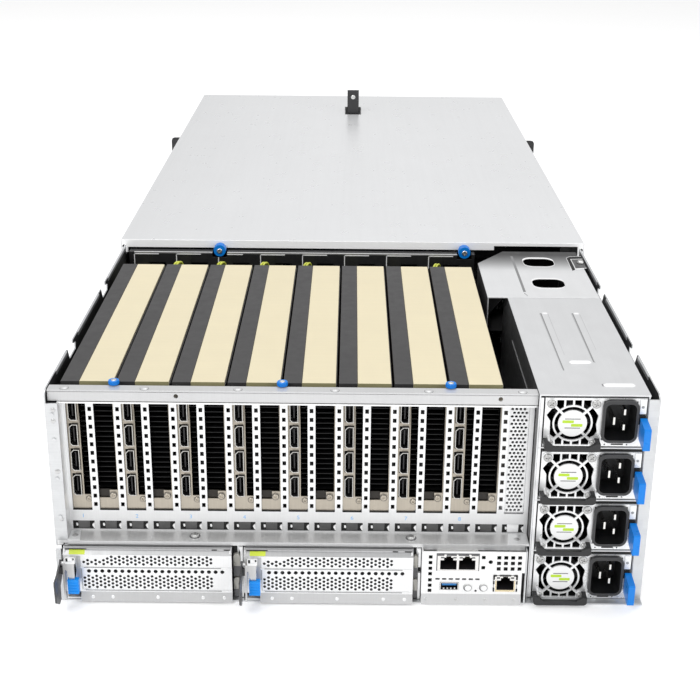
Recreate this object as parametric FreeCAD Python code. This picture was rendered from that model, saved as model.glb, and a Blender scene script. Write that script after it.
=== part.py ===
import FreeCAD, Part
import math
import os
from FreeCAD import Vector as V

os.makedirs("parts", exist_ok=True)

# Four-unit rack server with eight double-width cards, seen from the rear.
# Millimetres. +X to the right seen from the rear, -Y to the rear, +Z up.
# The slot panel's rear face is at y = 0 while modelling; Y_MID moves the
# finished pieces so that the middle of the object is at y = 0.

# driving dimensions
Y_MID = 501.2
T = 1.2                      # sheet thickness
X_OUT = 221.5                # half width of the chassis over its walls
X_IN = X_OUT - T
Y_FRONT = 1046.0             # front end of the walls
H_TOP = 175.5                # top face of the cover
COVER_X = 225.3              # half width of the cover
COVER_Y0, COVER_Y1 = 328.8, 1049.5
SLOT_PITCH = 20.32           # card slot pitch
SLOT0 = -202.32              # middle of the first slot
SLOT_N = 17
SLOT_W = 14.6
SLOT_Z0, SLOT_Z1 = 66.5, 159.0
CARD_PITCH = 2 * SLOT_PITCH
CARD_N = 8
CARD_Y0, CARD_Y1 = 4.9, 269.0
CARD_TOP = 170.8
PSU_Z = [148.9, 105.7, 62.6, 19.5]   # fan heights of the power supplies
PSU_X0, PSU_X1 = 138.6, 211.6
PSU_DN, PSU_UP = 18.0, 20.2  # case below and above the fan's middle
PSU_FACE = -13.0
PSU_END = 200.0
FAN_X = 159.2                # middle of the power-supply fan
INLET_X = 193.0
LOW_FACE = -21.0             # face plane of the lowest unit
EAR_X = 241.3                # 19-inch flange, half width
EAR_Y = 801.0
EAR_HOLE_X = 232.55          # 465.1 mm between hole columns
EAR_HOLE_Z = (36.95, 138.55)
FAN_C = [(-140.0, 82.0), (-10.0, 82.0), (120.0, 82.0)]
FAN_Y0, FAN_Y1 = 345.0, 383.0
LATCH_Y = 926.0
LATCH_Z = 172.6


def box(x0, x1, y0, y1, z0, z1):
    return Part.makeBox(x1 - x0, y1 - y0, z1 - z0, V(x0, y0, z0))


def cyl_y(x, y0, y1, z, r):
    return Part.makeCylinder(r, y1 - y0, V(x, y0, z), V(0, 1, 0))


def cyl_z(x, y, z0, z1, r):
    return Part.makeCylinder(r, z1 - z0, V(x, y, z0), V(0, 0, 1))


def cyl_x(x0, x1, y, z, r):
    return Part.makeCylinder(r, x1 - x0, V(x0, y, z), V(1, 0, 0))


def poly(points):
    return Part.makePolygon(points + [points[0]])


def face(outer, holes=()):
    return Part.makeFace([outer] + list(holes), "Part::FaceMakerBullseye")


def rect_xz(x0, x1, z0, z1, y):
    return poly([V(x0, y, z0), V(x1, y, z0), V(x1, y, z1), V(x0, y, z1)])


def rect_xy(x0, x1, y0, y1, z):
    return poly([V(x0, y0, z), V(x1, y0, z), V(x1, y1, z), V(x0, y1, z)])


def ring_xz(x, z, r, y):
    return Part.Wire([Part.makeCircle(r, V(x, y, z), V(0, 1, 0))])


def ring_xy(x, y, r, z):
    return Part.Wire([Part.makeCircle(r, V(x, y, z), V(0, 0, 1))])


def hex_xz(x, z, r, y, n=6):
    return poly([V(x + r * math.cos(math.radians(30 + 360.0 / n * i)), y, z + r * math.sin(math.radians(30 + 360.0 / n * i))) for i in range(n)])


def plate_xz(outer, holes, y0, y1):
    return face(outer, holes).extrude(V(0, y1 - y0, 0))


def plate_xy(outer, holes, z0, z1):
    return face(outer, holes).extrude(V(0, 0, z1 - z0))


def plate_yz(points, x0, x1):
    return face(poly([V(x0, y, z) for y, z in points])).extrude(V(x1 - x0, 0, 0))


def round_rect_xz(x0, x1, z0, z1, r, y):
    pts = []
    for cx, cz, a in ((x1 - r, z1 - r, 0), (x0 + r, z1 - r, 90), (x0 + r, z0 + r, 180), (x1 - r, z0 + r, 270)):
        pts.append([(cx + r * math.cos(math.radians(a + d)), cz + r * math.sin(math.radians(a + d))) for d in (0, 45, 90)])
    edges = []
    for i, p in enumerate(pts):
        v = [V(a, y, b) for a, b in p]
        edges.append(Part.Arc(v[0], v[1], v[2]).toShape())
        n = pts[(i + 1) % 4][0]
        edges.append(Part.makeLine(v[2], V(n[0], y, n[1])))
    return Part.Wire(edges)


def fuse(first, *rest):
    return first.fuse(list(rest)).removeSplitter()


def solids(thing):
    if isinstance(thing, (list, tuple)):
        out = []
        for t in thing:
            out += solids(t)
        return out
    return list(thing.Solids)


def export(name, thing):
    out = []
    for s in solids(thing):
        s = s.copy()
        s.translate(V(0, -Y_MID, 0))
        if not s.isValid() or s.Volume <= 0:
            raise SystemExit("bad solid in " + name)
        out.append(s)
    shape = out[0] if len(out) == 1 else Part.makeCompound(out)
    shape.exportStep("parts/" + name + ".step")
    b = shape.BoundBox
    print(name, len(out), "solids", [round(v, 1) for v in (b.XMin, b.XMax, b.YMin, b.YMax, b.ZMin, b.ZMax)])


# ---------------------------------------------------------------- chassis tub
def wall(x0, x1):
    pts = [(-13.0, T), (Y_FRONT, T), (Y_FRONT, 173.6), (333.0, 173.6), (333.0, 162.0), (326.0, 162.0), (326.0, WALL_TOP)]
    # hooked notches for the rear cover's tongues
    for y in (200.0, 63.5):
        pts += [(y + 19.5, WALL_TOP), (y + 19.5, 167.8), (y + 27.5, 166.2), (y + 27.5, 160.6), (y + 6.0, 160.6), (y, WALL_TOP)]
    pts += [(-8.0, WALL_TOP), (-11.4, WALL_TOP - 1.4), (-13.0, WALL_TOP - 4.6)]
    return plate_yz(pts, x0, x1)


WALL_TOP = 170.8
floor = box(-X_OUT, X_OUT, -19.8, Y_FRONT, 0.0, T)
hems = []
for ya, yb in ((23.0, 60.0), (101.0, 188.0), (231.0, 322.0)):
    hems.append(box(X_IN - 0.7, X_IN, ya, yb, 167.6, WALL_TOP))
    hems.append(box(-X_IN, -X_IN + 0.7, ya, yb, 167.6, WALL_TOP))
tub = fuse(
    floor,
    wall(-X_OUT, -X_IN),
    wall(X_IN, X_OUT),
    box(213.2, X_IN, -13.0, -11.8, T, 168.0),
    box(-X_IN, -212.0, -13.0, -11.8, 48.0, 160.8),
    box(-X_IN, -216.2, -19.8, -18.6, T, 44.0),
    *hems,
)
export("chassis_tub", tub)

# ---------------------------------------------------------------- slot panel
y = 0.0
holes = []
for k in range(SLOT_N):
    c = SLOT0 + SLOT_PITCH * k
    holes.append(rect_xz(c - SLOT_W / 2, c + SLOT_W / 2, SLOT_Z0, SLOT_Z1, y))
    holes.append(rect_xz(c - 8.2, c + 8.2, 50.3, 57.4, y))
for i in range(SLOT_N - 1):
    c = SLOT0 + SLOT_PITCH * (i + 0.5)
    for j in range(12):
        z = 71.6 + 7.18 * j
        holes.append(rect_xz(c - 1.35, c + 1.35, z - 1.7, z + 1.7, y))
panel = plate_xz(rect_xz(-212.0, 133.6, 47.8, 160.7, y), holes, 0.0, T)
panel = fuse(
    panel,
    box(-212.0, 133.6, -9.4, 0.0, 159.5, 160.7),
    box(-212.0, 133.6, -15.2, 0.0, 47.8, 49.0),
    box(-213.2, -212.0, -11.8, T, 47.8, 160.7),
    box(-212.0, 54.8, -15.2, -14.2, 46.0, 47.8),
    box(54.8, 130.6, -15.2, -14.2, 44.0, 47.8),
)
export("slot_panel", panel)

# ---------------------------------------------------------------- rear beam
beam = fuse(
    plate_xz(
        rect_xz(-219.6, 134.0, 161.5, 168.6, -9.4),
        [ring_xz(-127.0, 165.8, 1.7, -9.4), ring_xz(107.0, 165.8, 1.7, -9.4)],
        -9.4,
        -8.2,
    ),
    box(-219.6, 134.0, -8.8, -8.2, 168.6, 169.2),
    box(-219.6, 134.0, -9.8, -1.2, 169.2, 170.4),
)
export("rear_beam", beam)

knobs = []
for x in (-173.0, -50.7, 71.6):
    head = cyl_z(x, 0.4, 170.9, 173.8, 3.75)
    head = head.cut(cyl_z(x, 0.4, 173.1, 173.8, 2.0))
    knobs.append(fuse(head, cyl_z(x, 0.4, 163.0, 170.9, 1.5)))
export("beam_thumbscrews", knobs)

# ---------------------------------------------------------------- cards
housings, covers, brackets, sockets, sinks, boards, leads = [], [], [], [], [], [], []
for k in range(CARD_N):
    dx = CARD_PITCH * k
    xl, xr = -212.9 + dx, -173.7 + dx
    y0 = 6.5
    h = fuse(
        box(xl, xr, y0, CARD_Y1, 63.0, 168.7),
        box(xl, -199.35 + dx, 4.9, CARD_Y1, 165.5, CARD_TOP),
    )
    h = h.cut(box(xl + 1.4, xr - 1.4, 4.0, CARD_Y1 - 1.6, 64.4, 167.2))
    h = h.cut(box(xl + 1.4, -209.0 + dx, 18.0, 112.0, 62.0, 65.0))
    housings.append(h.removeSplitter())
    covers.append(fuse(box(-199.2 + dx, xr - 0.8, 6.4, CARD_Y1, 168.8, CARD_TOP), box(-199.2 + dx, xr - 0.8, CARD_Y0, 6.4, 165.5, CARD_TOP)))
    # bracket with socket cut-outs, vent cut-outs and top tab
    c0 = SLOT0 + dx
    hb = []
    for z in (150.0, 129.3, 108.6, 87.9):
        hb.append(rect_xz(c0 - 6.1, c0 + 0.7, z - 8.9, z + 8.9, 1.4))
    c1 = c0 + SLOT_PITCH
    vent = [(c0 + 2.0, 79.0), (c0 + 7.6, 79.0), (c0 + 7.6, 69.5), (c0 + 12.7, 69.5), (c0 + 12.7, 76.5), (c1 + 0.6, 76.5), (c1 + 0.6, 83.0), (c1 + 6.6, 83.0), (c1 + 6.6, 158.5), (c0 + 2.0, 158.5)]
    hb.append(poly([V(a, 1.4, b) for a, b in vent]))
    b = fuse(
        plate_xz(rect_xz(-211.0 + dx, -173.6 + dx, 52.0, 162.2, 1.4), hb, 1.4, 2.4),
        box(-211.0 + dx, -173.6 + dx, -7.6, 1.4, 161.1, 162.2),
    )
    brackets.append(b)
    # video sockets: metal shell with a tongue
    for z in (150.0, 129.3, 108.6, 87.9):
        xa, xb = c0 - 5.9, c0 + 0.5
        outer = poly([V(xa, -0.6, z - 6.9), V(xa + 1.8, -0.6, z - 8.7), V(xb, -0.6, z - 8.7), V(xb, -0.6, z + 8.7), V(xa + 2.2, -0.6, z + 8.7), V(xa, -0.6, z + 6.5)])
        inner = poly([V(xa + 0.6, -0.6, z - 6.6), V(xa + 2.1, -0.6, z - 8.1), V(xb - 0.6, -0.6, z - 8.1), V(xb - 0.6, -0.6, z + 8.1), V(xa + 2.5, -0.6, z + 8.1), V(xa + 0.6, -0.6, z + 6.2)])
        shell = face(outer, [inner]).extrude(V(0, 14.0, 0))
        back = face(outer).extrude(V(0, 1.0, 0))
        back.translate(V(0, 14.0, 0))
        sockets.append(fuse(shell, back, box(c0 - 3.2, c0 - 2.2, 1.6, 13.6, z - 6.0, z + 6.0)))
    # heatsink: level fins on both sides of one spine
    xs0, xs1, xm0, xm1 = -200.4 + dx, -176.0 + dx, -193.4 + dx, -191.0 + dx
    n_fin = 20
    up, down = [], []
    for j in range(n_fin):
        z = 78.5 + 4.195 * j
        last = j == n_fin - 1
        up += [V(xs1, 6.8, z), V(xs1, 6.8, z + 0.6)] + ([] if last else [V(xm1, 6.8, z + 0.6), V(xm1, 6.8, z + 4.195)])
        down += [V(xs0, 6.8, z), V(xs0, 6.8, z + 0.6)] + ([] if last else [V(xm0, 6.8, z + 0.6), V(xm0, 6.8, z + 4.195)])
    sinks.append(face(poly(up + down[::-1])).extrude(V(0, 255.0, 0)))
    # board with edge tab
    xb0, xb1 = -211.2 + dx, -209.6 + dx
    boards.append(fuse(box(xb0, xb1, 7.0, 264.0, 65.0, 166.5), box(xb0, xb1, 22.0, 108.0, 53.0, 65.0)))
    # power lead: plug at the card, two wires, header at the baseboard
    leads.append(box(xl + 1.6, xl + 13.0, 269.1, 277.0, 150.0, 163.0))
    leads.append(box(xl + 1.6, xl + 13.0, 294.0, 308.0, 50.7, 64.0))
    rise = 167.6 if k in (1, 2, 3, 4, 7) else 160.0
    for x in (xl + 3.0, xl + 5.4):
        route = [V(x, 277.0, 157.0), V(x + 0.8, 282.0, 157.0 + (rise - 157.0) * 0.7), V(x + 3.4, 286.5, rise), V(x + 6.0, 295.0, rise - 4.0), V(x + 6.0, 301.0, 140.0), V(x + 6.0, 301.0, 100.0), V(x + 6.0, 301.0, 64.0)]
        n = len(route)
        curve = Part.BSplineCurve()
        curve.buildFromPolesMultsKnots(route, [3] + [1] * (n - 3) + [3], [i / (n - 2.0) for i in range(n - 1)], False, 2)
        prof = Part.Wire([Part.makeCircle(1.0, route[0], route[1] - route[0])])
        leads.append(Part.Wire([curve.toShape()]).makePipeShell([prof], True, False))
export("card_housings", housings)
export("card_covers", covers)
export("card_brackets", brackets)
export("card_video_sockets", sockets)
export("card_heatsinks", sinks)
export("card_boards", boards)
export("card_power_leads", leads)

# perforated blank of the last slot
c = SLOT0 + SLOT_PITCH * 16
holes = []
for j in range(30):
    z = 69.0 + 3.0 * j
    for i in range(4):
        x = c - 4.5 + 3.0 * i + (0.75 if j % 2 else -0.75)
        holes.append(hex_xz(x, z, 1.12, 1.4, 10))
blank = fuse(
    plate_xz(rect_xz(c - 9.2, c + 9.2, 52.0, 162.2, 1.4), holes, 1.4, 2.4),
    box(c - 9.2, c + 9.2, -7.6, 1.4, 161.1, 162.2),
)
export("slot_blank", blank)

# black bracket that carries the far ends of the cards
holes = []
for k in range(CARD_N):
    x = -193.0 + CARD_PITCH * k
    holes.append(
        poly([V(x - 12, 318.0, 150.0), V(x - 9, 318.0, 150.0), V(x - 9, 318.0, 152.0), V(x + 12, 318.0, 152.0), V(x + 12, 318.0, 156.0), V(x - 12, 318.0, 156.0)])
    )
    holes.append(rect_xz(x - 12, x + 12, 70.0, 140.0, 318.0))
support = fuse(
    plate_xz(rect_xz(-216.0, 118.0, 47.8, 166.6, 318.0), holes, 318.0, 319.2),
    box(-216.0, 118.0, 319.2, 327.4, 165.4, 166.6),
)
# clear of the cover's thumbscrews
for x in (-128.4, 108.1):
    support = support.cut(box(x - 7.0, x + 7.0, 317.0, 337.0, 161.8, 168.0))
support = support.removeSplitter()
export("card_end_support", support)

# ---------------------------------------------------------------- shelf and baseboard under the cards
pads = [cyl_z(x, yy, 47.6, 49.2, 3.0) for x in (-205.0, -130.0, -50.0, 30.0, 105.0) for yy in (130.0, 305.0)]
shelf = fuse(
    box(-219.9, 133.6, 1.4, 330.0, 46.4, 47.6),
    box(-85.0, -83.8, -14.0, 250.0, T, 46.4),
    box(49.6, 50.8, -14.0, 250.0, T, 46.4),
    box(131.0, 132.2, -20.5, 120.0, T, 46.4),
    *pads,
)
export("lower_shelf", shelf)
pcb = box(-214.5, 112.0, 10.0, 314.0, 49.2, 50.6)
pcie = [pcb]
for k in range(CARD_N):
    dx = CARD_PITCH * k
    s = box(-213.5 + dx, -207.3 + dx, 19.0, 111.0, 50.6, 62.0)
    pcie.append(s.cut(box(-211.3 + dx, -209.5 + dx, 21.5, 108.5, 52.4, 63.0)))
export("card_baseboard", pcie)

# ---------------------------------------------------------------- power-supply cage, bridge and board
shelves = [box(135.4, 213.0, -12.8, 202.0, z - 20.4, z - 19.4) for z in PSU_Z[:3]]
cage = fuse(
    box(134.2, 214.2, -13.0, 186.0, 170.4, 171.6),
    box(134.2, 135.4, -13.0, 210.0, T, 170.4),
    box(213.0, 214.2, -11.7, 210.0, T, 170.4),
    *shelves,
)
export("psu_cage", cage)

outer = poly([V(x, yy, 170.4) for x, yy in ((117.0, 187.0), (214.2, 187.0), (214.2, 314.0), (144.5, 314.0), (139.0, 307.0), (117.0, 278.0))])


def stadium_xy(x0, x1, y0, y1, r, z):
    e = []
    c = [(x1 - r, y1 - r, 0), (x0 + r, y1 - r, 90), (x0 + r, y0 + r, 180), (x1 - r, y0 + r, 270)]
    p = [[V(cx + r * math.cos(math.radians(a + d)), cy + r * math.sin(math.radians(a + d)), z) for d in (0, 45, 90)] for cx, cy, a in c]
    for i in range(4):
        e.append(Part.Arc(*p[i]).toShape())
        e.append(Part.makeLine(p[i][2], p[(i + 1) % 4][0]))
    return Part.Wire(e)


bridge = fuse(
    plate_xy(outer, [stadium_xy(160.0, 188.6, 270.6, 296.0, 8.0, 170.4), stadium_xy(161.0, 189.6, 211.6, 236.8, 8.0, 170.4)], 170.4, 171.6),
    box(117.0, 118.2, 187.0, 278.0, 47.6, 170.4),
    box(213.0, 214.2, 212.0, 314.0, 120.0, 170.4),
)
export("cable_bridge", bridge)

pdb = [box(136.0, 212.6, 206.0, 208.0, 4.0, 168.0)]
for z in PSU_Z:
    pdb.append(box(150.0, 198.0, 201.0, 206.0, z - 6.0, z + 6.0))
export("power_board", pdb)

# ---------------------------------------------------------------- power supplies
PIV_Y, PIV_DZ = -16.4, -12.2
for n, zc in enumerate(PSU_Z, 1):
    z0, z1 = zc - PSU_DN, zc + PSU_UP
    case = box(PSU_X0, PSU_X1, PSU_FACE, PSU_END, z0, z1)
    case = case.cut(box(PSU_X0 + 1, PSU_X1 - 1, PSU_FACE + 1.2, PSU_END - 1, z0 + 1, z1 - 1))
    outline = [(147.1, 18.5), (171.8, 18.5), (171.8, 15.0), (172.8, 12.8), (177.6, 6.3), (176.3, -0.5), (177.2, -6.6), (175.6, -9.6), (172.4, -11.6), (171.6, -17.0),
               (147.6, -17.0), (147.0, -11.9), (143.2, -9.1), (142.9, 2.0), (140.0, 6.6), (144.5, 12.7), (147.1, 15.2)]
    case = case.cut(face(poly([V(a, PSU_FACE - 1.0, zc + b) for a, b in outline])).extrude(V(0, 2.6, 0)))
    case = case.cut(box(INLET_X - 12.3, INLET_X + 12.3, PSU_FACE - 1, PSU_FACE + 1.5, zc - 13.2, zc + 18.0))
    ring = cyl_y(FAN_X, PSU_FACE, PSU_FACE + 1.2, zc, 14.5).cut(cyl_y(FAN_X, PSU_FACE, PSU_FACE + 1.2, zc, 13.2))
    hub = cyl_y(FAN_X, PSU_FACE, PSU_FACE + 1.2, zc, 10.5)
    spokes = []
    for a in (45, 135, 225, 315):
        s = box(10.0, 20.0, PSU_FACE, PSU_FACE + 1.2, -0.9, 0.9)
        s.rotate(V(0, 0, 0), V(0, 1, 0), a)
        s.translate(V(FAN_X, 0, zc))
        spokes.append(s)
    for dx in (-6.35, 0.0, 6.35):
        r = math.sqrt(14.0 ** 2 - dx ** 2)
        spokes.append(box(FAN_X + dx - 0.7, FAN_X + dx + 0.7, PSU_FACE, PSU_FACE + 1.2, zc + r, zc + 18.9))
        spokes.append(box(FAN_X + dx - 0.7, FAN_X + dx + 0.7, PSU_FACE, PSU_FACE + 1.2, zc - 17.4, zc - r))
    for x, dz, r in ((143.1, 16.0, 3.9), (175.2, 16.0, 3.9), (143.7, -14.9, 2.8), (174.4, -14.9, 2.8)):
        spokes.append(cyl_y(x, PSU_FACE - 0.9, PSU_FACE, zc + dz, r))
    pin = cyl_y(FAN_X, PSU_FACE + 1.2, -3.0, zc, 1.0)
    lugs = []
    for xa, xb, xp0, xp1 in ((141.6, 142.9, 138.3, 141.6), (178.7, 179.6, 175.3, 178.7)):
        lugs.append(
            fuse(
                box(xa, xb, PIV_Y, PSU_FACE, zc + PIV_DZ - 1.9, zc + PIV_DZ + 1.9),
                cyl_x(xa, xb, PIV_Y, zc + PIV_DZ, 1.9),
                cyl_x(min(xp0, xa), max(xp1, xb), PIV_Y, zc + PIV_DZ, 1.2),
            )
        )
    tab = box(206.8, 211.4, PSU_FACE - 1.0, PSU_FACE, zc + 8.4, zc + 19.8)
    edge = box(152.0, 196.0, PSU_END, PSU_END + 0.6, zc - 4.0, zc + 4.0)
    case = fuse(case, ring, hub, pin, tab, edge, *(spokes + lugs))
    export("psu_case_%d" % n, case)
    # inlet: bezel, body with cavity, three blades
    def cavity(y):
        return round_rect_xz(INLET_X - 11.1, INLET_X + 11.1, zc - 12.0, zc + 16.8, 4.2, y)

    def sleeve(y):
        return round_rect_xz(INLET_X - 12.2, INLET_X + 12.2, zc - 13.1, zc + 17.9, 5.0, y)

    bz = plate_xz(round_rect_xz(INLET_X - 13.0, INLET_X + 13.0, zc - 14.0, zc + 19.6, 6.0, -16.0), [cavity(-16.0)], -16.0, -13.0)
    body = plate_xz(sleeve(-13.0), [cavity(-13.0)], -13.0, 6.0)
    shell = fuse(bz, body, plate_xz(sleeve(6.0), [], 6.0, 8.0))
    blades = []
    for bx, bz_, hh in ((-3.8, 1.9, 2.9), (3.5, 9.0, 2.2), (3.5, -3.0, 2.2)):
        blades.append(box(INLET_X + bx - 0.7, INLET_X + bx + 0.7, -12.4, 6.0, zc + bz_ - hh, zc + bz_ + hh))
    export("psu_inlet_%d" % n, [shell] + blades)
    # swing handle: flat bail with gusseted corners on two arms, turning on the lug pins
    bail = [(138.0, -10.2), (138.0, -14.8), (138.8, -16.3), (140.6, -17.0), (175.9, -17.0), (177.7, -16.3), (178.4, -14.8), (178.4, -10.6), (175.2, -10.6),
            (171.4, -13.2), (170.7, -13.5), (145.3, -13.5), (144.6, -13.2), (141.8, -10.2)]
    handle = face(poly([V(a, -25.0, zc + b) for a, b in bail])).extrude(V(0, 3.4, 0))
    arms = []
    sides = ((138.0, 141.2), (175.2, 178.4))
    for xa, xb in sides:
        arms.append(
            fuse(
                cyl_x(xa, xb, PIV_Y, zc + PIV_DZ, 2.0),
                plate_yz([(-21.6, zc - 10.6), (-25.0, zc - 10.6), (-25.0, zc - 14.6), (-21.6, zc - 14.6), (-16.4, zc - 14.2), (-16.4, zc - 10.2)], xa, xb),
            )
        )
    handle = fuse(handle, *arms)
    for xa, xb in sides:
        handle = handle.cut(cyl_x(xa - 0.1, xb + 0.1, PIV_Y, zc + PIV_DZ, 1.26))
    export("psu_handle_%d" % n, handle.removeSplitter())
    # blue release latch: block on an upright pivot barrel
    lt = plate_yz([(-14.2, zc + 5.2), (-29.2, zc + 3.6), (-30.0, zc + 2.8), (-30.0, zc - 12.8), (-29.2, zc - 13.5), (-14.2, zc - 11.1)], 207.4, 212.4)
    lt = fuse(lt, cyl_z(209.8, -14.9, zc - 7.0, zc + 0.8, 1.4))
    export("psu_latch_%d" % n, lt)
    # fan rotor
    hubr = cyl_y(FAN_X, -10.6, -3.4, zc, 8.6)
    bl = []
    for i in range(7):
        b = box(7.5, 16.2, -10.0, -3.6, -0.5, 0.5)
        b.rotate(V(12.0, -6.8, 0), V(1, 0, 0), 38)
        b.rotate(V(0, 0, 0), V(0, 1, 0), i * 360.0 / 7)
        b.translate(V(FAN_X, 0, zc))
        bl.append(b)
    rotor = fuse(hubr, *bl).cut(cyl_y(FAN_X, -11.5, -2.8, zc, 1.06))
    export("psu_rotor_%d" % n, rotor.removeSplitter())

# ---------------------------------------------------------------- riser modules
for name, x0, x1 in (("left", -215.0, -88.9), ("right", -79.9, 47.0)):
    shell = box(x0 + 0.6, x1 - 0.6, LOW_FACE + 1.0, 240.0, 1.9, 45.4).cut(box(x0 + 1.6, x1 - 1.6, LOW_FACE, 239.0, 2.9, 44.4))
    hs = []

    def row(z, shift, first, last):
        for i in range(first, last + 1):
            hs.append(hex_xz(x0 + (15.4 if shift else 18.4) + 5.95 * i, z, 0.97, LOW_FACE, 10))

    row(38.9, 0, 3, 15)
    row(37.4, 1, 3, 16)
    row(35.85, 0, 0, 15)
    row(34.25, 1, 0, 16)
    row(32.65, 0, 0, 15)
    for i in range(7):
        row(22.2 - 1.6 * i, i % 2, 0, 16 if i % 2 else 15)
    for i in range(21):
        hs.append(ring_xz(x0 + 18.9 + 5.0 * i, 26.5, 1.5, LOW_FACE))
    fp = plate_xz(rect_xz(x0, x1, 8.6, 40.4, LOW_FACE), hs, LOW_FACE, LOW_FACE + 1.0)
    lip = plate_yz([(LOW_FACE, 40.4), (LOW_FACE + 1.0, 40.4), (-15.8, 45.4), (-16.8, 45.4)], x0, x1)
    fold = plate_yz([(LOW_FACE, 8.6), (LOW_FACE + 1.0, 8.6), (-22.6, 1.6), (-23.6, 1.6)], x0 + 12.0, x1)
    ridges = [
        box(x0 + 12.3, x1 - 1.0, LOW_FACE - 0.7, LOW_FACE, 29.7, 30.5),
        box(x0 + 14.5, x1 - 1.0, LOW_FACE - 0.7, LOW_FACE, 9.9, 10.7),
    ]
    lug = fuse(
        box(x0 + 3.4, x0 + 4.6, -25.0, LOW_FACE, 32.6, 38.6),
        cyl_x(x0 + 3.4, x0 + 4.6, -25.0, 35.6, 3.0),
        cyl_x(x0 - 1.9, x0 + 4.6, -25.0, 35.6, 1.5),
    )
    fp = fuse(fp, lip, fold, lug, *ridges)
    # riser card and its two slot connectors inside the cage
    inner = [box(x0 + 8.0, x1 - 8.0, 60.0, 230.0, 6.0, 7.6), box(x0 + 14.0, x0 + 23.0, 90.0, 220.0, 7.6, 19.0), box(x0 + 60.0, x0 + 69.0, 90.0, 220.0, 7.6, 19.0)]
    posts = [box(x, x + 5.0, yy, yy + 5.0, 2.9, 6.0) for x in (x0 + 9.0, x1 - 15.0) for yy in (62.0, 222.0)]
    export("riser_module_" + name, [shell, fp] + inner + posts)
    # lever: outer leaf, inner arm, web between them, plate down to the grip
    prof = [(-22.4, 37.0), (-25.0, 38.8), (-29.0, 36.4), (-35.0, 35.4), (-38.5, 33.6), (-46.6, 32.6), (-47.1, 29.8), (-46.2, 14.7), (-37.7, 8.2), (-32.3, 9.2), (-31.4, 20.3), (-26.3, 23.6), (-22.4, 26.0)]
    leaf = plate_yz(prof, x0 - 1.6, x0 - 0.4)
    prof2 = [(-22.4, 37.0), (-25.0, 38.8), (-29.6, 38.0), (-30.6, 22.0), (-30.6, 7.0), (-27.4, 7.0), (-25.4, 20.0), (-22.4, 30.0)]
    arm = plate_yz(prof2, x0 + 1.6, x0 + 3.0)
    web = box(x0 - 0.4, x0 + 1.6, -29.0, -26.6, 28.6, 34.0)
    strap = [(x0 + 3.0, 37.8), (x0 + 10.0, 37.8), (x0 + 9.8, 26.0), (x0 + 9.8, 16.0), (x0 + 6.0, 16.0), (x0 + 5.6, 26.0), (x0 + 4.4, 32.0), (x0 + 3.0, 32.6)]
    plate = face(poly([V(a, -29.6, b) for a, b in strap])).extrude(V(0, 1.2, 0))
    lev = fuse(leaf, arm, web, plate)
    lev = lev.cut(cyl_x(x0 - 3.0, x0 + 4.0, -25.0, 35.6, 1.56))
    grip = box(x0 + 4.6, x0 + 12.7, -31.2, -26.8, 12.9, 24.8).cut(box(x0 + 5.5, x0 + 9.9, -29.7, -28.3, 15.9, 27.0))
    export("riser_lever_" + name, [lev.removeSplitter(), grip])

# ---------------------------------------------------------------- I/O panel
yf = LOW_FACE
hs = []
for z in (41.4, 36.5, 31.6, 26.9, 21.5, 16.8, 12.3):
    hs.append(rect_xz(58.4, 61.2, z - 1.4, z + 1.4, yf))
hs.append(rect_xz(64.6, 96.0, 29.8, 44.2, yf))
for z in (41.3, 32.5):
    hs.append(rect_xz(98.0, 100.8, z - 1.4, z + 1.4, yf))
hs.append(ring_xz(104.8, 37.4, 1.6, yf))
for i in range(4):
    for j in range(3):
        hs.append(rect_xz(111.0 + 5.2 * i - 1.5, 111.0 + 5.2 * i + 1.5, 41.2 - 4.8 * j - 1.5, 41.2 - 4.8 * j + 1.5, yf))
for i in range(7):
    hs.append(rect_xz(65.5 + 5.0 * i - 1.6, 65.5 + 5.0 * i + 1.6, 21.7, 23.1, yf))
hs.append(rect_xz(67.3, 81.6, 12.6, 19.8, yf))
hs.append(ring_xz(94.5, 12.2, 0.9, yf))
hs.append(rect_xz(107.6, 125.4, 11.7, 26.2, yf))
panel = plate_xz(rect_xz(53.4, 128.7, 9.5, 46.0, yf), hs, yf, yf + 1.0)
fold = plate_yz([(yf, 9.5), (yf + 1.0, 9.5), (-22.6, 1.6), (-23.6, 1.6)], 53.4, 128.7)
panel = fuse(panel, fold, box(53.4, 128.7, -22.7, -6.0, 1.6, 2.6), box(53.4, 54.4, yf + 1.0, -6.0, 9.5, 46.0))
export("io_panel", panel)

jacks = []


def jack(body, c, z, half):
    # cavity with the stepped latch notch at its top
    body = body.cut(box(c - half, c + half, yf - 2.0, yf + 15.0, z, z + 8.0))
    body = body.cut(box(c - 3.4, c + 3.4, yf - 2.0, yf + 15.0, z + 7.9, z + 10.2))
    return body.cut(box(c - 1.8, c + 1.8, yf - 2.0, yf + 15.0, z + 10.1, z + 11.4))


dual = box(64.9, 95.7, yf - 0.4, yf + 20.0, 30.1, 43.9)
dual = jack(jack(dual, 73.25, 30.9, 6.1), 87.2, 30.9, 6.1)
jacks.append(dual)
jacks.append(jack(box(107.9, 125.1, yf - 0.4, yf + 20.0, 12.0, 25.9), 116.5, 13.6, 6.4))
usb = box(67.5, 81.4, yf - 0.4, yf + 18.0, 12.8, 19.6).cut(box(68.1, 80.8, yf - 1.0, yf + 16.0, 13.4, 19.0))
tongue = box(68.9, 80.0, yf + 0.6, yf + 16.0, 16.5, 18.3)
jacks += [usb, tongue]
export("io_sockets", jacks)
ioboard = [box(56.0, 127.0, -3.0, 120.0, 9.3, 10.9)]
ioboard += [box(x, x + 6.0, yy, yy + 6.0, T, 9.3) for x in (58.0, 119.0) for yy in (4.0, 110.0)]
export("io_board", ioboard)

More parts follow.
